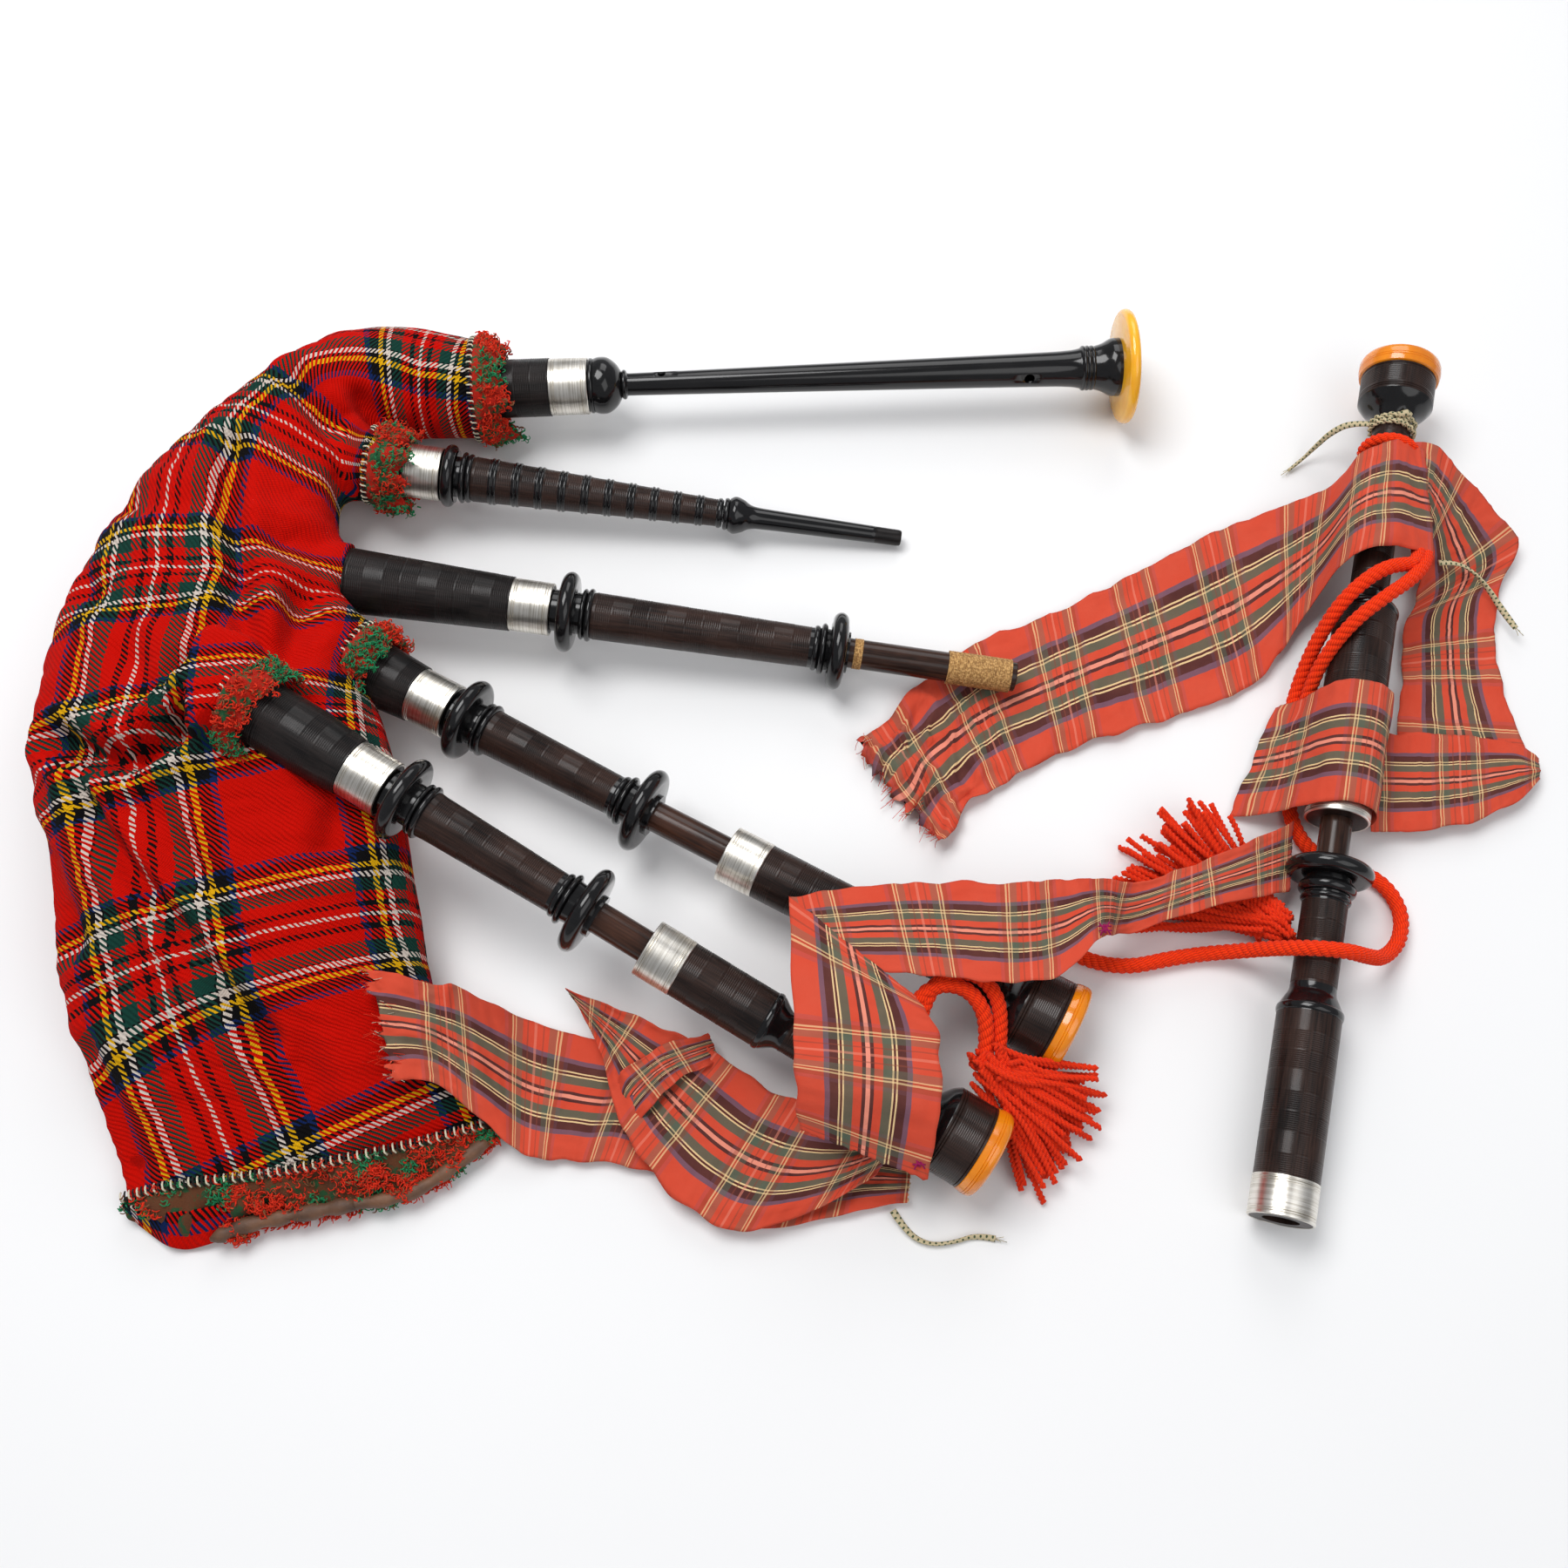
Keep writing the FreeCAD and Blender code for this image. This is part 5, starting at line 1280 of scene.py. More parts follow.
def make_ribbons():
    """Every run of ribbon, the threads of its torn ends, and what holds its folds."""
    runs = (
        ("tail", RIBBON_TAIL, (0.088, 0.41), 1.2, (0.5, 5.0), 9.0),
        ("loop", RIBBON_LOOP, (0.060, 0.34), 0.9, (0.5, 0.5), 0.0),
        ("panel", RIBBON_PANEL, (0.045, 0.30), 0.7, (0.5, 0.5), 0.0),
        ("drape", RIBBON_DRAPE, (0.068, 0.11), 0.7, (0.5, 1.0), 0.0),
        ("strip", RIBBON_STRIP, (0.058, 0.32), 1.3, (0.5, 4.5), 2.0),
    )
    for seed, (run, stations, flat, ripple, ragged, crumple) in enumerate(runs, 1):
        name = run + "_ribbon"
        shape = Sculpt(name)
        rows = cloth_run(shape, stations, seed, ripple, ragged, 0.013 * seed, crumple)
        if run == "loop":
            cloth_run(shape, LOOP_RETURN, seed + 20, 0.5, (0.3, 0.3), 0.007)
        thing = cloth_piece(shape, "ribbon_cloth", "ribbon_" + run)
        if ragged[1] > RAGGED_END:
            threads = Sculpt(name + "_threads")
            frayed(threads, rows[-1], rows[-2], 7.0, 90, seed, RED_TUFT)
            frayed(threads, rows[-1], rows[-2], 5.0, 25, seed + 40, LIGHT_STITCH)
            piece(threads.build(), "root", "ribbon_cloth")
    wrap_ribbon()
    knot_flap()
    ribbon_stitches()


# The wrap: where it starts and ends along the joint, how far out it lies, and from which angle
# it goes round to which, in degrees. Then its rows round the joint, down, and its columns.
WRAP_START, WRAP_STOP, WRAP_HUG = 223.0, 297.0, 19.6
WRAP_FIRST, WRAP_LAST = 212, 44
WRAP_TURNS, WRAP_FALLS, WRAP_COLUMNS = 44, 30, 30


def wrap_ribbon():
    """The ribbon laid over the bass drone's top joint: up its near side, over the top, and
    down like a tent over the ropes to the ground."""
    rows, weave = [], []
    travelled = 0.02
    for step in range(WRAP_TURNS + WRAP_FALLS + 1):
        turned = min(1.0, step / WRAP_TURNS)
        fall = max(0.0, (step - WRAP_TURNS) / WRAP_FALLS)
        angle = math.radians(WRAP_FIRST + (WRAP_LAST - WRAP_FIRST) * turned)
        skew = 4.0 * math.sin(step * 0.05 + 0.6)
        row = []
        for column in range(WRAP_COLUMNS + 1):
            share = column / WRAP_COLUMNS
            reach, low = 53 - 16 * share, -23.0 - 2.0 * share
            side = WRAP_HUG * math.cos(angle) * (1 - fall) + reach * fall
            up = WRAP_HUG * math.sin(angle) * (1 - fall) + low * fall
            up -= 4.5 * math.sin(math.pi * fall)
            here = Vector((step * 0.11, share * 3.2, 3.0))
            fold = noise.noise(here) * 1.5 + noise.noise(here * 2.6) * 0.7
            lift = 1.3 + fold * (0.5 + step / (WRAP_TURNS + WRAP_FALLS))
            out = math.atan2(up + 8, side)
            station = WRAP_START + (WRAP_STOP - WRAP_START) * share + skew
            spot = BASS_UPPER.at(station, side + math.cos(out) * lift, up + math.sin(out) * lift)
            row.append(above(spot, CLOTH_GAP))
        if rows:
            middle = WRAP_COLUMNS // 2
            travelled += (row[middle] - rows[-1][middle]).length
        rows.append(row)
        weave.append([((column / WRAP_COLUMNS - 0.5) * RIBBON_WIDTH, travelled)
                      for column in range(WRAP_COLUMNS + 1)])
    shape = Sculpt("wrap_ribbon")
    shape.grid(rows, weave, RIBBON)
    thing = cloth_piece(shape, "ribbon_cloth", "ribbon_wrap")


# The pointed end that sticks out of the ribbon's knot, and the band round the knot.
KNOT_FLAP = (
    ((-133, -149, 16), (-126, -158, 14)), ((-103, -161, 15), (-113, -184, 13)),
    ((-74, -172, 14), (-105, -211, 13)), ((-48, -186, 13), (-90, -239, 12)),
    ((-25, -202, 13), (-65, -264, 11)), ((0, -214, 16), (-38, -275, 10)),
    ((25, -223, 26), (-2, -266, 11)), ((47, -225, 36), (32, -248, 16)),
)
KNOT_BAND = (
    ((-96, -224, 6), (-104, -205, 8)), ((-86, -214, 17), (-101, -195, 18)),
    ((-72, -200, 21), (-85, -184, 21)), ((-58, -192, 17), (-66, -176, 17)),
    ((-50, -186, 9), (-56, -172, 9)),
)


def knot_flap():
    """The knot in the strip of ribbon beside the tenor drones."""
    shape = Sculpt("ribbon_knot_flap")
    cloth_run(shape, KNOT_FLAP, 12, 1.5, (2.0, 0.5), 0.03)
    cloth_run(shape, KNOT_BAND, 31, 1.0, (0.3, 0.3), 0.02)
    cloth_piece(shape, "ribbon_cloth")


def ribbon_stitches():
    """The few magenta stitches that catch the ribbon's folds down."""
    shape = Sculpt("ribbon_stitches")
    for place in metres(((52, -246, 47.5), (152, -127, 56))):
        for number in range(6):
            angle = number * 1.05
            out = Vector((math.cos(angle), math.sin(angle), 0)) * 0.0034
            middle = place + Vector((math.sin(number), math.cos(number), 0)) * 0.0012
            shape.sweep([middle - out, middle + UP * 0.0008, middle + out], 0.45, 6,
                        MAGENTA_STITCH)
    piece(shape.build(), "root", "ribbon_cloth")


# --- bag and cover -----------------------------------------------------------------------------

# The CAD's own sections: middle, half width, half height, and heading of the width in degrees.
BAG_SECTIONS = (
    (-197, 223.7, 35.0, 29, 29, -87.5), (-244, 227, 36.5, 33, 32, -88),
    (-281, 218, 38.5, 36, 35, -72), (-308, 182, 41.5, 44, 38, -49),
    (-326, 137, 43.5, 60, 41, -31), (-338, 87, 45.5, 74, 44, -20),
    (-338, 31, 46.0, 88, 46, -4), (-329, -27, 46.0, 99, 46, -1),
    (-316, -82, 41.0, 100, 41, -1), (-295, -164, 28.3, 95, 28, 6),
    (-273, -214, 15.5, 97, 15, 9), (-260, -243, 8.0, 96, 7.6, 13),
)
# Pipe, radius of the sleeve at its end, and how far before the mouth it starts and ends.
SLEEVES = (
    ("blowpipe", BLOWPIPE, 21.2, 74, 23), ("bass", BASS, 23.4, 146, 118),
    ("tenor_1", TENOR_1, 23.1, 96, 51), ("tenor_2", TENOR_2, 23.1, 106, 80),
)
SLEEVE_SIDES, SLEEVE_STEPS, SLEEVE_STEPS_INSIDE = 48, 12, 8
SLEEVE_FLARE = 0.30
BAG_SQUARENESS = 0.92
RING = 88
RING_STEPS = 8
VOXEL_M = 0.0034
COVER_TOP = 0.118

# Folds in the cover: where they run (x, y), how wide and how deep.
CREASES = (
    (((-402, -30), (-380, -42), (-358, -45), (-344, -37), (-332, -24)), 7.5, 17.0),
    (((-384, -58), (-371, -82), (-352, -105), (-330, -128), (-308, -153), (-283, -184)),
     6.0, 9.5),
    (((-334, -30), (-328, -15), (-334, 4)), 8.0, 7.0),
    (((-284, 17), (-281, 35), (-281, 54)), 8.0, 9.0),
    (((-332, 154), (-324, 103), (-313, 68), (-312, 46), (-300, 22)), 7.0, 9.0),
    (((-306, 207), (-290, 186), (-270, 165), (-269, 142)), 7.0, 7.0),
    (((-265, 197), (-249, 180), (-231, 176)), 6.0, 6.0),
    (((-421, -75), (-403, -102), (-389, -132)), 9.0, 7.0),
    (((-379, -189), (-364, -218), (-351, -245)), 8.0, 5.0),
    (((-263, -44), (-248, -64), (-252, -88)), 9.0, 6.0),
    (((-326, -129), (-307, -129), (-290, -142)), 7.0, 3.5),
    (((-350, -66), (-332, -86), (-319, -109)), 8.0, 4.0),
    (((-280, -178), (-263, -193), (-256, -215)), 10.0, 4.0),
    (((-400, 60), (-378, 48), (-352, 44)), 9.0, 4.0),
    (((-388, 120), (-360, 108), (-336, 112)), 10.0, 3.5),
    (((-262, 108), (-276, 96), (-300, 92)), 8.0, 5.0),
    (((-352, -4), (-366, 14), (-372, 34)), 8.0, 4.5),
)

# Where along the bag each cross band of the check has its centre, in metres, and how far to
# the bag's left the lengthwise band wanders there.
CHECK_BANDS = (
    (0.035, 0.020), (0.140, 0.048), (0.250, 0.019), (0.345, 0.034), (0.460, 0.036),
    (0.595, 0.036),
)
FIRST_BAND = -2


def check_place(along):
    """The check's own distance along the cloth at a station of the bag, and its wander."""
    last = len(CHECK_BANDS) - 2
    index = 0
    while index < last and CHECK_BANDS[index + 1][0] < along:
        index += 1
    (start, drift), (stop, after) = CHECK_BANDS[index], CHECK_BANDS[index + 1]
    share = (along - start) / (stop - start)
    band = FIRST_BAND + index + share
    return band * COVER_REPEAT * MM, drift + (after - drift) * limited(share)


def bag_rings():
    """Rings of points round the bag, in metres, with the weave coordinates of each: where it is
    in the check, which the cloth's folds stretch, and then in the plain cloth, for its ribs."""
    middles = through([section[:3] for section in BAG_SECTIONS], RING_STEPS)
    shapes = through([section[3:] for section in BAG_SECTIONS], RING_STEPS)
    half = RING // 2
    rings, marks = [], []
    travelled = 0.0
    for index, (middle, (wide, high, turn)) in enumerate(zip(middles, shapes)):
        if index:
            travelled += (middle - middles[index - 1]).length * MM
        turn = math.radians(turn)
        across = Vector((math.cos(turn), math.sin(turn), 0))
        ring = []
        for angle in angles(RING):
            c, s = math.sin(angle), math.cos(angle)
            x = wide * math.copysign(abs(c)**BAG_SQUARENESS, c)
            z = high * math.copysign(abs(s)**BAG_SQUARENESS, s)
            ring.append((middle + across * x + UP * z) * MM)
        reach = [0.0]
        for side in range(half):
            reach.append(reach[-1] + (ring[side + 1] - ring[side]).length)
        lean = limited(across.dot(heading(middles, index)), -0.5, 0.5)
        square = math.sqrt(1 - lean * lean)
        place = []
        for side in range(RING):
            value = reach[side] if side <= half else -reach[RING - side]
            level = limited(value, -wide * MM, wide * MM)
            rib = travelled + level * lean
            cloth, drift = check_place(rib)
            place.append((value * square + drift, cloth, value * square, rib))
        rings.append(ring)
        marks.append(place)
    return rings, marks


def closed_solid(name, rings):
    """Rings of points joined into a closed solid."""
    shape = Sculpt(name)
    shape.tube(rings, [[(0, 0)] * (len(ring) + 1) for ring in rings], COVER)
    return shape.build()


def distance_to_run(x, y, run):
    """How far a place is from the nearest leg of a run."""
    gaps = []
    for (ax, ay), (bx, by) in zip(run, run[1:]):
        dx, dy = bx - ax, by - ay
        t = limited(((x - ax) * dx + (y - ay) * dy) / (dx * dx + dy * dy))
        gaps.append(math.hypot(x - ax - t * dx, y - ay - t * dy))
    return min(gaps)


def make_cover():
    """The cover: the bag and its sleeves joined in one skin, then folded and mapped."""
    rings, marks = bag_rings()
    cover = closed_solid("cover", rings)
    sleeves = []
    for name, pipe, radius, start, stop in SLEEVES:
        sleeve = []
        for step in range(-SLEEVE_STEPS_INSIDE, SLEEVE_STEPS + 1):
            share = step / SLEEVE_STEPS
            flare = 1 + SLEEVE_FLARE * limited(1 - share)**2
            size = radius * flare + 0.8 * math.sin(step * 1.9)
            station = -start + (start - stop) * share
            sleeve.append([pipe.round(station, size, a) for a in angles(SLEEVE_SIDES)])
        sleeves.append(closed_solid(name + "_cuff_base", sleeve))
    for extra in sleeves:
        join = cover.modifiers.new(extra.name, "BOOLEAN")
        join.operation, join.object, join.solver = "UNION", extra, "EXACT"
    for kind, settings in (("REMESH", {"mode": "VOXEL", "voxel_size": VOXEL_M}),
                           ("SMOOTH", {"factor": 0.6, "iterations": 9})):
        step = cover.modifiers.new(kind, kind)
        for key, value in settings.items():
            setattr(step, key, value)
    apply_modifiers(cover)
    for extra in sleeves:
        bpy.data.objects.remove(extra)
    fold_cover(cover)
    map_cover(cover, rings, marks)
    sub = cover.modifiers.new("fine", "SUBSURF")
    sub.levels = sub.render_levels = 1
    apply_modifiers(cover)
    cover.data.polygons.foreach_set("use_smooth", [True] * len(cover.data.polygons))
    piece(cover, "root", "cover_cloth", "bag_cover")


# How far inside a sleeve's own radius the folds may press.
SLEEVE_GIVE = 2.2


def clear_of_stocks(spot):
    """Moves a point of the cover out from a stock that its folds would press it into."""
    for _, pipe, radius, start, stop in SLEEVES:
        local = pipe.inverse @ spot
        room = (radius - SLEEVE_GIVE) * MM
        level = math.hypot(local.y, local.z)
        if -start * 1.2 * MM < local.x < -stop * 0.9 * MM and 0.004 < level < room:
            local.y *= room / level
            local.z *= room / level
            spot = pipe.frame @ local
    return spot


# A fold's reach in its own widths, and the ridge beside it: its share of the depth, and where.
FOLD_REACH = 4
RIDGE_SHARE, RIDGE_PLACE = 0.42, 1.9
PLEAT_DEPTH = 1.6


def fold_cover(cover):
    """Presses folds, dents and a slack unevenness into the cover's upper side."""
    mesh = cover.data
    normals = [vertex.normal.copy() for vertex in mesh.vertices]
    for vertex, normal in zip(mesh.vertices, normals):
        spot = vertex.co / MM
        top = limited(normal.z * 1.6 + 0.35)
        shift = 0.0
        for run, width, depth in CREASES:
            gap = distance_to_run(spot.x, spot.y, run) / width
            if gap < FOLD_REACH:
                shift -= depth * math.exp(-gap * gap) * top
                shift += RIDGE_SHARE * depth * math.exp(-(gap - RIDGE_PLACE)**2) * top
        slack = noise.noise(vertex.co * 16) * 3.2 + noise.noise(vertex.co * 42) * 1.3
        pleat = noise_at(vertex.co.x * 30, vertex.co.y * 75, vertex.co.z * 30)
        pleat = 1.0 - abs(pleat) * 4.0
        shift += slack * (0.35 + 0.65 * top) - PLEAT_DEPTH * max(0.0, pleat) * top
        vertex.co = clear_of_stocks(vertex.co + normal * shift * MM)
        if vertex.co.z > COVER_TOP:
            vertex.co.z = COVER_TOP + (vertex.co.z - COVER_TOP) * 0.25
        above(vertex.co, GROUND_GAP)
    mesh.update()


# A jump in the weave that shows its seam, the share of a ring that counts as upper side, and
# over which distances from the plain bag a point goes over to the mark below it, in metres.
WEAVE_SEAM = 0.03
UPPER_SIDE = 0.19
AWAY_FROM, AWAY_OVER = 0.006, 0.012


def flattened(spot):
    return Vector((spot.x, spot.y, 0))


def map_cover(cover, rings, marks):
    """Gives the cover its weave coordinates from the plain bag: from its nearest point, or,
    out on a sleeve, from the point of its upper side straight below, carried on level."""
    solid, shadow = [], []
    for index, ring in enumerate(rings):
        before, after = around(rings, index)
        mark_before, mark_after = around(marks, index)
        for side, spot in enumerate(ring):
            right, left = (side + 1) % RING, side - 1
            if abs(marks[index][right][0] - marks[index][left][0]) > WEAVE_SEAM:
                right = left + 1
            entry = (spot, marks[index][side], ring[right] - ring[left],
                     Vector(marks[index][right]) - Vector(marks[index][left]),
                     after[side] - before[side],
                     Vector(mark_after[side]) - Vector(mark_before[side]))
            solid.append(entry)
            if min(side, RING - side) < RING * UPPER_SIDE:
                shadow.append(entry)

    def finder(entries, flatten):
        """Gives a function that marks a point from its nearest entry, and how far that is."""
        tree = KDTree(len(entries))
        for number, entry in enumerate(entries):
            tree.insert(flatten(entry[0]), number)
        tree.balance()

        def mark(co):
            _, number, gap = tree.find(flatten(co))
            spot, base, across, across_mark, ahead, ahead_mark = entries[number]
            off, across, ahead = (flatten(v) for v in (co - spot, across, ahead))
            one = off.dot(across) / max(across.length_squared, 1e-9)
            two = off.dot(ahead) / max(ahead.length_squared, 1e-9)
            return Vector(base) + across_mark * one + ahead_mark * two, gap

        return mark

    nearest, straight_below = finder(solid, Vector), finder(shadow, flattened)
    mesh = cover.data
    placed = []
    for vertex in mesh.vertices:
        near, gap = nearest(vertex.co)
        below, _ = straight_below(vertex.co)
        away = limited((gap - AWAY_FROM) / AWAY_OVER)
        placed.append(near.lerp(below, away * away * (3 - 2 * away)))
    for name, first in (("weave", 0), ("rib", 2)):
        layer = mesh.uv_layers.get(name) or mesh.uv_layers.new(name=name)
        for loop in mesh.loops:
            layer.data[loop.index].uv = placed[loop.vertex_index][first:first + 2]


# --- cuffs, stitching, tufts, the leather seam -------------------------------------------------


STITCH_GAP = 0.0023
STITCH_RADIUS = 0.55


def stitches(shape, path, reach):
    """Whip stitches over an edge, light and dark by turns. reach gives each stitch's half
    length and its rise as vectors, in metres."""
    points, _ = even(path, STITCH_GAP)
    for index, point in enumerate(points[:-1]):
        half, rise = reach(point)
        slant = (points[index + 1] - point).normalized() * STITCH_GAP * 0.5
        material = DARK_STITCH if index % 2 else LIGHT_STITCH
        arc = [point - half, point - half * 0.4 + rise, point + half * 0.5 + rise,
               point + half + slant]
        shape.sweep(arc, STITCH_RADIUS, 5, material)


TUFT_STEPS = 7
TUFT_BOW = 1.1


def tufts(shape, spots, count, length, seed, materials, lift=0.25):
    """Curled wool yarns over a torn edge. A spot is (point, direction out of the surface), and
    lift is how far the yarns stand up rather than lie along it."""
    dice = random.Random(seed)
    for _ in range(count):
        point, out = spots[dice.randrange(len(spots))]
        along = shaken(dice, -1, 1)
        along = (along - out * along.dot(out)).normalized()
        beside = out.cross(along)
        lie = along * (1 - lift) + out * lift
        reach = length * dice.uniform(0.45, 1.0) * MM
        curl, turns = dice.uniform(0.4, 1.1) * MM, dice.uniform(2.0, 6.5)
        root = point + shaken(dice, -1.4, 1.4) * MM
        path = []
        for step in range(TUFT_STEPS + 1):
            t = step / TUFT_STEPS
            bow = out * math.sin(math.pi * t) * TUFT_BOW * MM
            wave = beside * math.sin(turns * t) + out * (1 - math.cos(turns * t)) * 0.6
            path.append(above(root + lie * reach * t + bow + wave * curl, TUFT_GAP))
        shape.sweep(path, dice.uniform(0.32, 0.60), 4, dice.choice(materials),
                    taper=lambda t: 1.0 - 0.4 * t)


CUFF_SIDES, CUFF_STEPS = 96, 12
GREEN_LEVEL = 0.03
REDS, GREENS = (RED_TUFT,) * 6 + (BROWN_TUFT,), (GREEN_TUFT,) * 4 + (BROWN_TUFT,)


def cuff(name, pipe, start, stop, radius, flare, seed):
    """The torn lining turned out of a sleeve: a lumpy collar with a ragged edge, the whip
    stitches at its root and curled wool all over it."""
    rows = []
    dice = random.Random(seed)
    ragged = [dice.uniform(-2.5, 2.5) for _ in range(CUFF_SIDES)]
    for step in range(CUFF_STEPS):
        share = step / (CUFF_STEPS - 1)
        puff = math.sin(math.pi * min(1.0, share * 1.15)) * 3.0
        row = []
        for angle, stray in zip(angles(CUFF_SIDES), ragged):
            c, s = math.cos(angle), math.sin(angle)
            wave = noise_at(c * 2.2, s * 2.2, seed)
            lump = noise_at(c * 5, s * 5, share * 3 + seed)
            size = radius + flare * share**1.5 + puff + (wave * 5.0 + lump * 4.5) * share
            station = start + (stop - start) * share + stray * share**3 + wave * 9.0 * share
            row.append(above(pipe.round(station, size, angle), CLOTH_GAP))
        rows.append(row)
    weave = [[(side / CUFF_SIDES, step * 0.002) for side in range(CUFF_SIDES + 1)]
             for step in range(CUFF_STEPS)]
    shape = Sculpt(name)
    shape.grid(rows, weave, LINING, closed=True)
    cloth_piece(shape, "cover_cloth", thick=WOOL_THICK, levels=1)
    trim = Sculpt(name + "_trim")
    root = pipe.at(start)
    aim = (pipe.at(1) - pipe.at(0)).normalized()

    def reach(point):
        out = (point - root) - aim * (point - root).dot(aim)
        return aim * 0.0019, out.normalized() * 0.0010

    stitches(trim, [pipe.round(start, radius + 1.2, a) for a in angles(60, whole=True)], reach)
    reds, greens = [], []
    for side, angle in enumerate(angles(CUFF_SIDES)):
        patch = noise.noise(Vector((math.cos(angle), math.sin(angle), seed + 9)) * 1.3)
        spots = greens if patch > GREEN_LEVEL else reds
        for row, low in zip(rows[3:], rows[2:]):
            out = (row[side] - root).normalized() + (row[side] - low[side]) * 300
            spots.append((row[side], out.normalized()))
    tufts(trim, reds, 620, 5.0, seed, REDS)
    tufts(trim, greens, 480, 5.0, seed + 1, GREENS)
    piece(trim.build(), "root", "cover_cloth")


def make_trim():
    cuff("chanter_cuff", CHANTER, -68, -51, 29.5, -6.0, 5)
    cuff("blowpipe_cuff", BLOWPIPE, -42, -21, 21.0, 0.0, 11)
    cuff("tenor_1_cuff", TENOR_1, -64, -47, 23.0, 0.0, 17)
    cuff("tenor_2_cuff", TENOR_2, -96, -76, 23.0, 1.0, 23)
    bottom_seam()
    leather_tab()


# The lower seam: its stitched line and the ragged lower edge beneath it (x, y, z).
SEAM_LINE = (
    (-357, -259, 13), (-330, -253, 17), (-285, -248, 19), (-228, -237, 19), (-197, -229, 17),
    (-168, -219, 12),
)
SEAM_EDGE = (
    (-356, -266, 3), (-332, -281, 3), (-313, -280, 3), (-289, -271, 3), (-242, -262, 4),
    (-206, -254, 4), (-169, -227, 4),
)
SEAM_GAP = 0.0032
SEAM_ROWS = 10
SEAM_DOWN = Vector((0.25, -1, 0)).normalized()

# Where the red wool bunches up along the seam, and hangs below it.
PUFFS = (
    (-296, -258, 13), (-282, -260, 12), (-297, -273, 6), (-228, -248, 13), (-214, -252, 9),
)
PUFF_REDS = (RED_TUFT,) * 7 + (BROWN_TUFT,)
HANGS_BELOW = 0.008

# The cover's own corner sticks out where x is less than this. Its rows, and the share of the
# way from the seam's line to its edge that they start at and cover.
FLAP_END = -0.292
FLAP_ROWS = 9
FLAP_START, FLAP_SPAN = 0.45, 0.60

# The leather seam's two rolls: how high, how thick, and from which share of the seam to which.
ROLLS = ((8.0, 4.6, 0.24, 0.62), (7.0, 4.2, 0.58, 0.985))


def bottom_seam():
    """The cover's lower edge: whip stitches, puffs of torn red and green wool over them, and
    the rolled leather seam that shows between."""
    top = [point * MM for point in through(SEAM_LINE, 12)]
    low = [point * MM for point in through(SEAM_EDGE, 10)]
    top, _ = even(top, SEAM_GAP)
    low, _ = even(low, SEAM_GAP * 0.94)
    count = len(top)
    low = [low[round(index * (len(low) - 1) / (count - 1))] for index in range(count)]
    trim = Sculpt("seam_trim")
    stitches(trim, [point + UP * 0.0018 for point in top],
             lambda point: (SEAM_DOWN * 0.0026, UP * 0.0012))
    rows, weave, reds, greens = [], [], [], []
    for step in range(SEAM_ROWS):
        share = step / (SEAM_ROWS - 1)
        row = []
        for index, (a, b) in enumerate(zip(top, low)):
            lump = noise_at(index * 0.23, share * 1.8, 2.0)
            fine = noise_at(index * 0.8, share * 5.0, 7.0)
            bulge = 2.5 * math.sin(math.pi * share)**0.7 + 7.0 * lump + 2.5 * fine
            bulge *= MM * min(1.0, share * 4)
            spot = above(a.lerp(b, share) + (UP * 0.8 + SEAM_DOWN * 0.6) * bulge, CLOTH_GAP)
            row.append(spot)
            bald = noise_at(index * 0.19, share * 1.5, 23.0) > 0.10
            if not bald and not (spot.x < FLAP_END and share > 0.5):
                green = noise_at(index * 0.13, share * 1.2, 11.0) > GREEN_LEVEL
                spots = greens if green else reds
                spots.append((spot, (SEAM_DOWN + UP * 0.7).normalized()))
        rows.append(row)
        weave.append([(index * 0.002, share * 0.02) for index in range(count)])
    shape = Sculpt("seam_wool")
    shape.grid(rows, weave, OLD_WOOL)
    cloth_piece(shape, "cover_cloth", thick=FELT_THICK, levels=1)
    tufts(trim, reds, 1250, 6.0, 31, PUFF_REDS)
    tufts(trim, greens, 1050, 5.0, 37, GREENS)
    hanging = [spot for spot in reds if spot[0].z < HANGS_BELOW]
    tufts(trim, hanging, 260, 9.0, 41, (RED_TUFT,), 0.6)
    dice = random.Random(47)
    for puff in metres(PUFFS):
        spots = []
        for _ in range(60):
            out = Vector((dice.uniform(-1, 1), dice.uniform(-1, 1), dice.uniform(0.1, 1)))
            out.normalize()
            reach = Vector((dice.uniform(4.0, 9.0), dice.uniform(3.0, 7.0), 4.5)) * MM
            spots.append((puff + out * reach, out))
        tufts(trim, spots, 330, 6.0, dice.randrange(99), PUFF_REDS)
    piece(trim.build(), "root", "cover_cloth")
    roll = Sculpt("leather_seam")
    seam_flap(top, low)
    for lift, radius, near, far in ROLLS:
        first, last = round(near * (count - 1)), round(far * (count - 1))
        path = [spot + (UP * lift + SEAM_DOWN * 0.5) * MM for spot in low[first:last + 1]]
        roll.sweep(path, radius, 16, LEATHER,
                   taper=lambda t: (0.85 + 0.15 * math.sin(t * 30)) * min(1.0, 8 * t + 0.3))
    piece(roll.build(), "root", "leather", "bag")


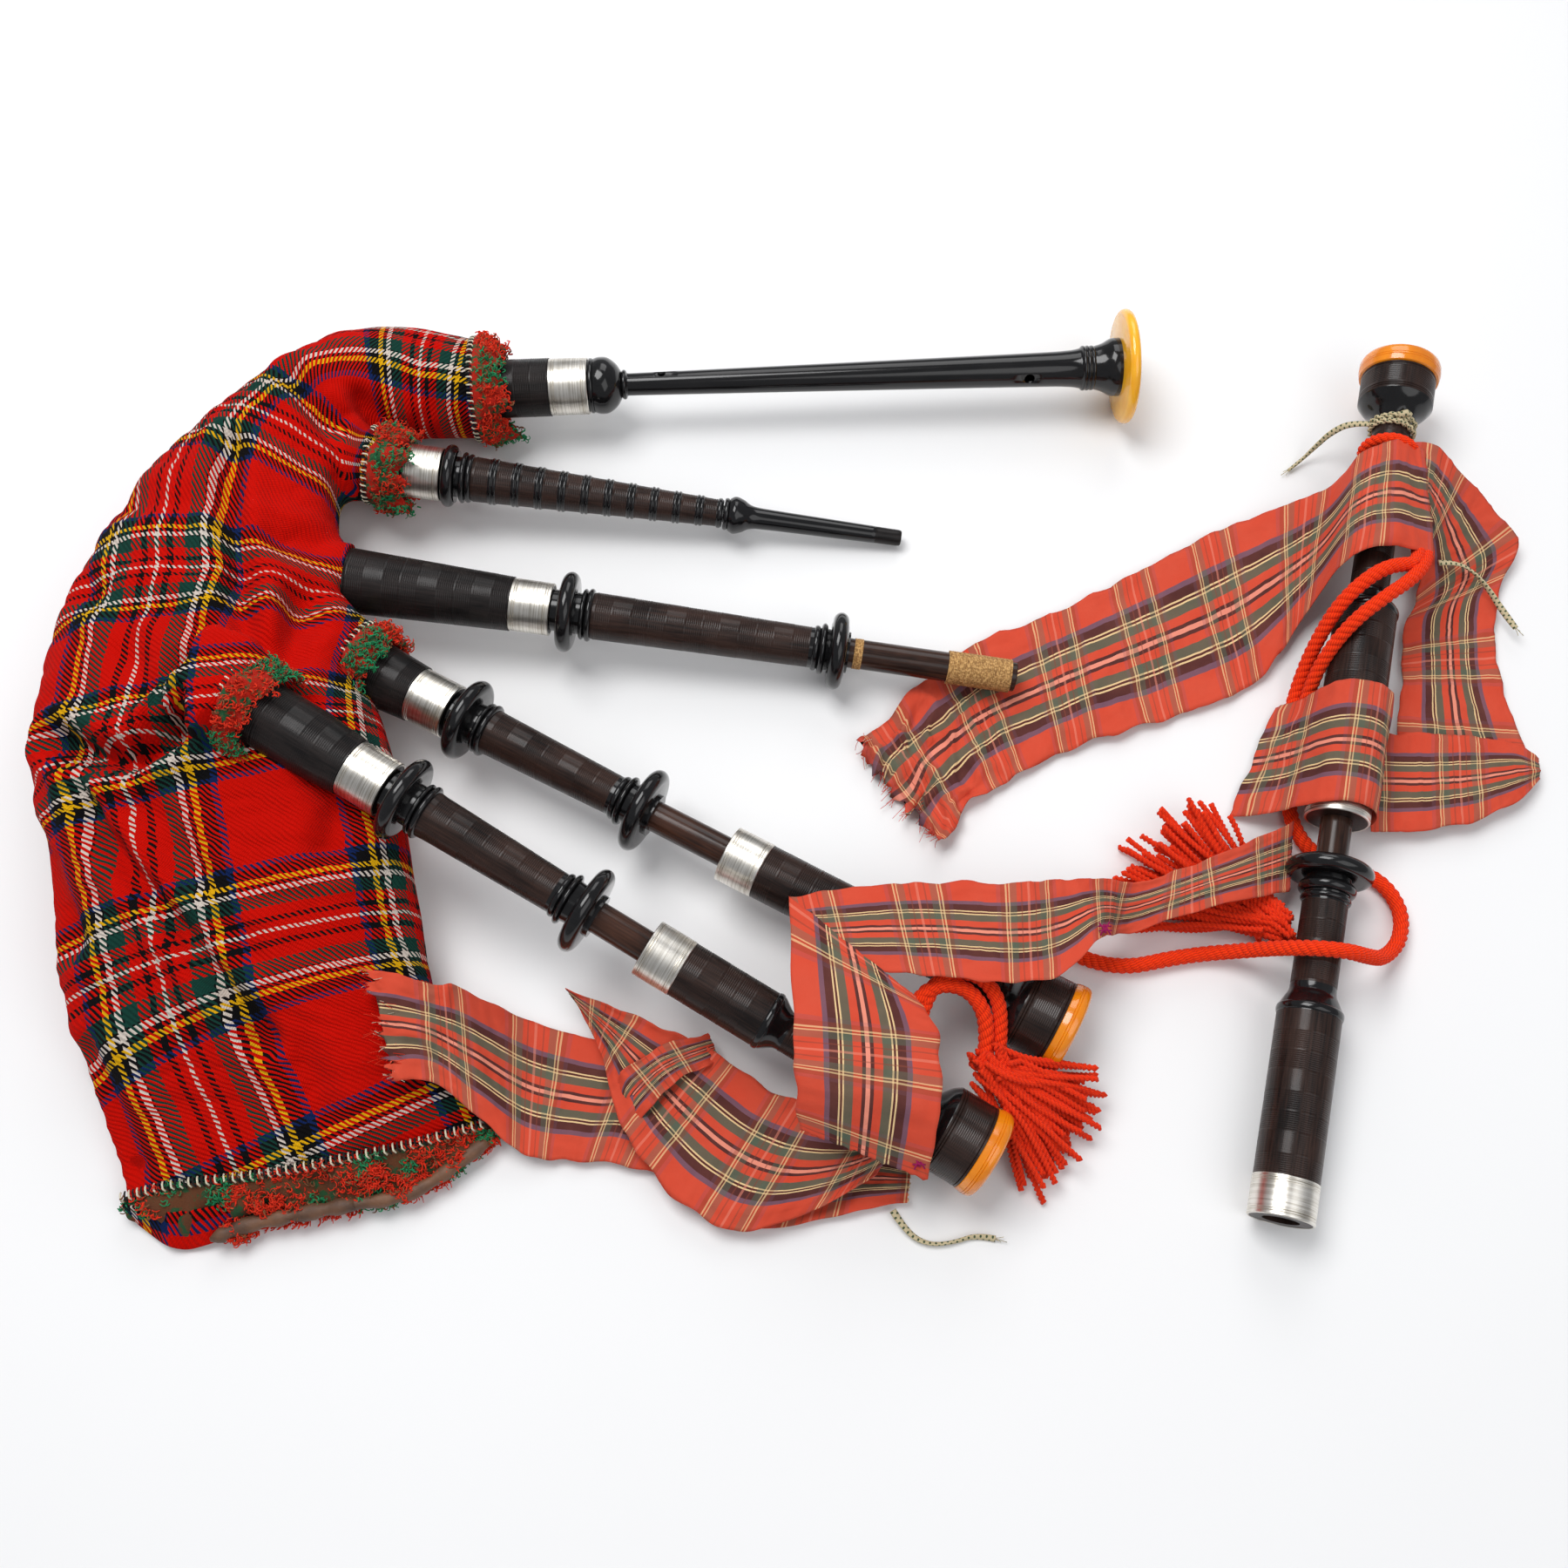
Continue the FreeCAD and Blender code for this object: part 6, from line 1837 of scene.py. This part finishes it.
def seam_flap(top, low):
    """The corner of the cover's lower side, which sticks out past the seam."""
    rows, weave = [], []
    pairs = [(a, b) for a, b in zip(top, low) if a.x <= FLAP_END]
    for step in range(FLAP_ROWS):
        down = step / (FLAP_ROWS - 1)
        share = FLAP_START + FLAP_SPAN * down
        row, marks = [], []
        for index, (a, b) in enumerate(pairs):
            wave = noise_at(index * 0.3, share * 2.0, 5.0)
            spot = a.lerp(b, share) + UP * (5.5 - 4.0 * down + 2.5 * wave) * MM
            row.append(above(spot, CLOTH_GAP))
            marks.append((0.02 + index * SEAM_GAP, 0.03 + share * 0.02))
        rows.append(row)
        weave.append(marks)
    shape = Sculpt("seam_flap")
    shape.grid(rows, weave, COVER)
    thing = shape.build()
    layers = thing.data.uv_layers
    layers.new(name="rib")
    for mark, place in zip(layers["rib"].data, layers["weave"].data):
        mark.uv = place.uv
    piece(thicken(thing, WOOL_THICK, 1), "root", "cover_cloth")


TAB_CORNER, TAB_HEADING = (-165, -227, 5), -28
TAB_LENGTH, TAB_WIDTH = 22, 9.0
TAB_THICK = 0.0022
TAB_ROWS, TAB_COLUMNS = 13, 7


def leather_tab():
    """The small leather tab at the seam's corner."""
    turn = math.radians(TAB_HEADING)
    along = Vector((math.cos(turn), math.sin(turn), 0))
    across = Vector((-along.y, along.x, 0))
    rows, weave = [], []
    for step in range(TAB_ROWS):
        share = step / (TAB_ROWS - 1)
        width = TAB_WIDTH * (1 - 0.15 * share)
        row = []
        for column in range(TAB_COLUMNS):
            place = (column / (TAB_COLUMNS - 1) - 0.5) * width + TAB_WIDTH / 2
            bend = 1.6 + 0.8 * math.sin(share * 4) + 0.4 * math.cos(column * 1.2)
            spot = Vector(TAB_CORNER) + along * TAB_LENGTH * share + across * place + UP * bend
            row.append(spot * MM)
        rows.append(row)
        weave.append([(column * 0.001, share * 0.02) for column in range(TAB_COLUMNS)])
    shape = Sculpt("tab_strip")
    shape.grid(rows, weave, LEATHER)
    cloth_piece(shape, "leather", "bag_tab", thick=TAB_THICK, levels=2)


# --- stage -------------------------------------------------------------------------------------


# Each lamp: where it stands and its size, in metres, and its power in watts.
LAMPS = (
    ("key", (-0.6, 0.5, 1.9), 1.1, 30.0), ("fill", (0.9, -0.9, 1.7), 1.6, 12.0),
    ("strip", (0.2, 1.3, 1.1), 0.9, 6.0),
)
SKY, SKY_STRENGTH = (0.93, 0.95, 1.0, 1.0), 0.34
FLOOR_HALF = 6.0
CAMERA_PLACE, CAMERA_TILT, LENS = (-0.0155, -0.38075, 0.88546), 22, 38.0


def make_stage():
    """The paper it lies on, the light and the camera."""
    mesh = bpy.data.meshes.new("floor")
    half = FLOOR_HALF
    corners = [(-half, -half, 0), (half, -half, 0), (half, half, 0), (-half, half, 0)]
    mesh.from_pydata(corners, [], [(0, 1, 2, 3)])
    mesh.materials.append(floor_paper())
    floor = bpy.data.objects.new("floor", mesh)
    bpy.context.collection.objects.link(floor)
    floor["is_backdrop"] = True

    scene = bpy.context.scene
    scene.view_settings.view_transform = "Standard"
    world = bpy.data.worlds.new("studio")
    world.use_nodes = True
    sky = world.node_tree.nodes["Background"]
    sky.inputs[0].default_value = SKY
    sky.inputs[1].default_value = SKY_STRENGTH
    scene.world = world
    for name, spot, size, power in LAMPS:
        lamp = bpy.data.lights.new(name, "AREA")
        lamp.shape, lamp.size, lamp.energy = "SQUARE", size, power
        light = bpy.data.objects.new(name, lamp)
        light.location = spot
        light.rotation_euler = (-Vector(spot)).to_track_quat("-Z", "Y").to_euler()
        bpy.context.collection.objects.link(light)

    lens = bpy.data.cameras.new("camera")
    lens.lens, lens.sensor_width = LENS, 36.0
    camera = bpy.data.objects.new("camera", lens)
    camera.location = CAMERA_PLACE
    camera.rotation_euler = (math.radians(CAMERA_TILT), 0, 0)
    bpy.context.collection.objects.link(camera)
    scene.camera = camera


def write_sizes():
    """Works out the boxes of the CAD model and of the visual model as plain lists."""
    boxes = {"cad": CAD_BOX, "visual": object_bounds()}
    plain = {name: [[float(v) for v in corner] for corner in box] for name, box in boxes.items()}


dress_cad_nodes()
make_stage()
make_cords(make_tassels())
neck_tie()
make_stocks()
make_chanter()
make_blowpipe()
make_drones()
make_bass_upper()
make_ribbons()
make_cover()
make_trim()
write_sizes()
